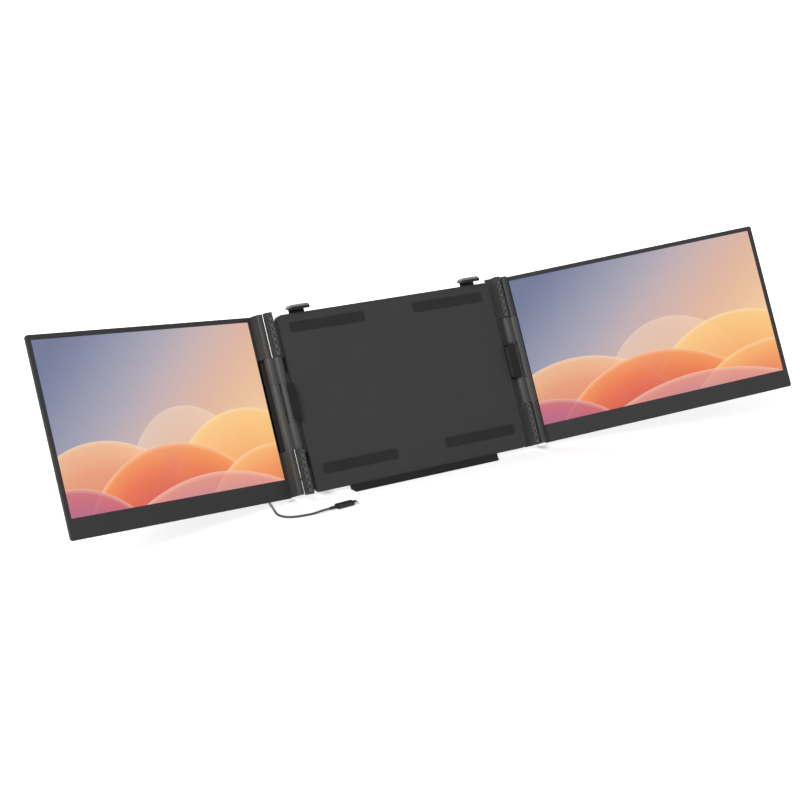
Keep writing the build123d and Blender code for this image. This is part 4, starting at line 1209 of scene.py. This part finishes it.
@dataclass
class Studio:
    """Camera, pale floor, soft lamps and a white surround."""

    camera_at: Point = (-1.448218, -2.064171, 0.864472)
    right: Point = (0.826943, -0.562277, 0.003157)
    up: Point = (0.159469, 0.239909, 0.957608)
    lens: float = 86.857
    sensor: float = 36.0
    view_end: float = 30.0
    floor_z: float = -0.0002
    floor_half: float = 12.0
    floor_pale: float = 0.86
    floor_rough: float = 0.9
    floor_glow: float = 0.38
    glow_start: float = 0.55
    glow_rise: float = 0.6
    world_light: float = 0.16
    lamps: tuple[Lamp, ...] = (
        Lamp("key_lamp", (-3.6, -2.6, 3.4), 0.12, 3.2, 290.0),
        Lamp("fill_lamp", (1.9, -1.6, 1.5), 0.12, 1.8, 2.0),
        Lamp("back_lamp", (0.4, 2.9, 2.7), 0.15, 3.0, 130.0),
    )

    def camera(self) -> None:
        """Camera from its place, its right and its up."""
        data = bpy.data.cameras.new("studio_camera")
        data.sensor_width = self.sensor
        data.lens = self.lens
        data.clip_end = self.view_end
        camera = link_object("studio_camera", data)
        right, up = Vector(self.right), Vector(self.up)
        turn = Matrix((right, up, right.cross(up))).transposed().to_4x4()
        camera.matrix_world = Matrix.Translation(Vector(self.camera_at)) @ turn
        bpy.context.scene.camera = camera

    def surround(self) -> None:
        """World: white to the camera, to gloss and through glass; grey as light on the object."""
        world = bpy.data.worlds.new("studio_world")
        bpy.context.scene.world = world
        world.use_nodes = True
        nodes = Nodes(world.node_tree)
        terms = {0: nodes.seen_directly(), 2: self.world_light, 3: 1.0}
        strength = nodes.add("Mix", terms, data_type="FLOAT").outputs[0]
        background = world.node_tree.nodes["Background"].inputs
        nodes.put(strength, background["Strength"])
        nodes.put(WHITE, background["Color"])

    def floor(self) -> None:
        """Large pale floor, whose own light is for rays that look and grows with the distance.

        The glow is floor_glow + glow_rise * (distance - glow_start), at least floor_glow and at
        most 1, so that the floor ends in white.
        """
        half, z = self.floor_half, self.floor_z
        mesh = bpy.data.meshes.new("studio_floor")
        corners = [(-half, -half, z), (half, -half, z), (half, half, z), (-half, half, z)]
        mesh.from_pydata(corners, [], [(0, 1, 2, 3)])
        floor = link_object("studio_floor", mesh)
        nodes = Shader("pale_floor")
        distance = nodes.length(*nodes.parts(nodes.coordinates()))
        away = nodes.math("MAXIMUM", nodes.math("SUBTRACT", distance, self.glow_start), 0.0)
        glow = nodes.math("MULTIPLY_ADD", away, self.glow_rise, self.floor_glow)
        glow = nodes.math("MULTIPLY", nodes.seen_directly(), nodes.math("MINIMUM", glow, 1.0))
        nodes.feed({
            "Base Color": (self.floor_pale, self.floor_pale, self.floor_pale, 1.0),
            "Roughness": self.floor_rough,
            "Specular IOR Level": 0.0,
            "Emission Color": WHITE,
            "Emission Strength": glow,
        })
        mesh.materials.append(nodes.material)

    def build(self) -> None:
        """Set up everything but the camera, which comes first."""
        bpy.context.scene.view_settings.view_transform = "Standard"
        self.surround()
        self.floor()
        for lamp in self.lamps:
            lamp.build()


def main() -> None:
    """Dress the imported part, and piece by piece."""
    logging.basicConfig(level=logging.INFO, format="%(message)s")
    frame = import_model()
    studio = Studio()
    studio.camera()
    Cable().build()
    LeaningFrame().build(frame)
    for side in Side:
        Column().build(frame, side)
        Screen().build(frame, side)
    studio.build()


if __name__ == "__main__":
    main()
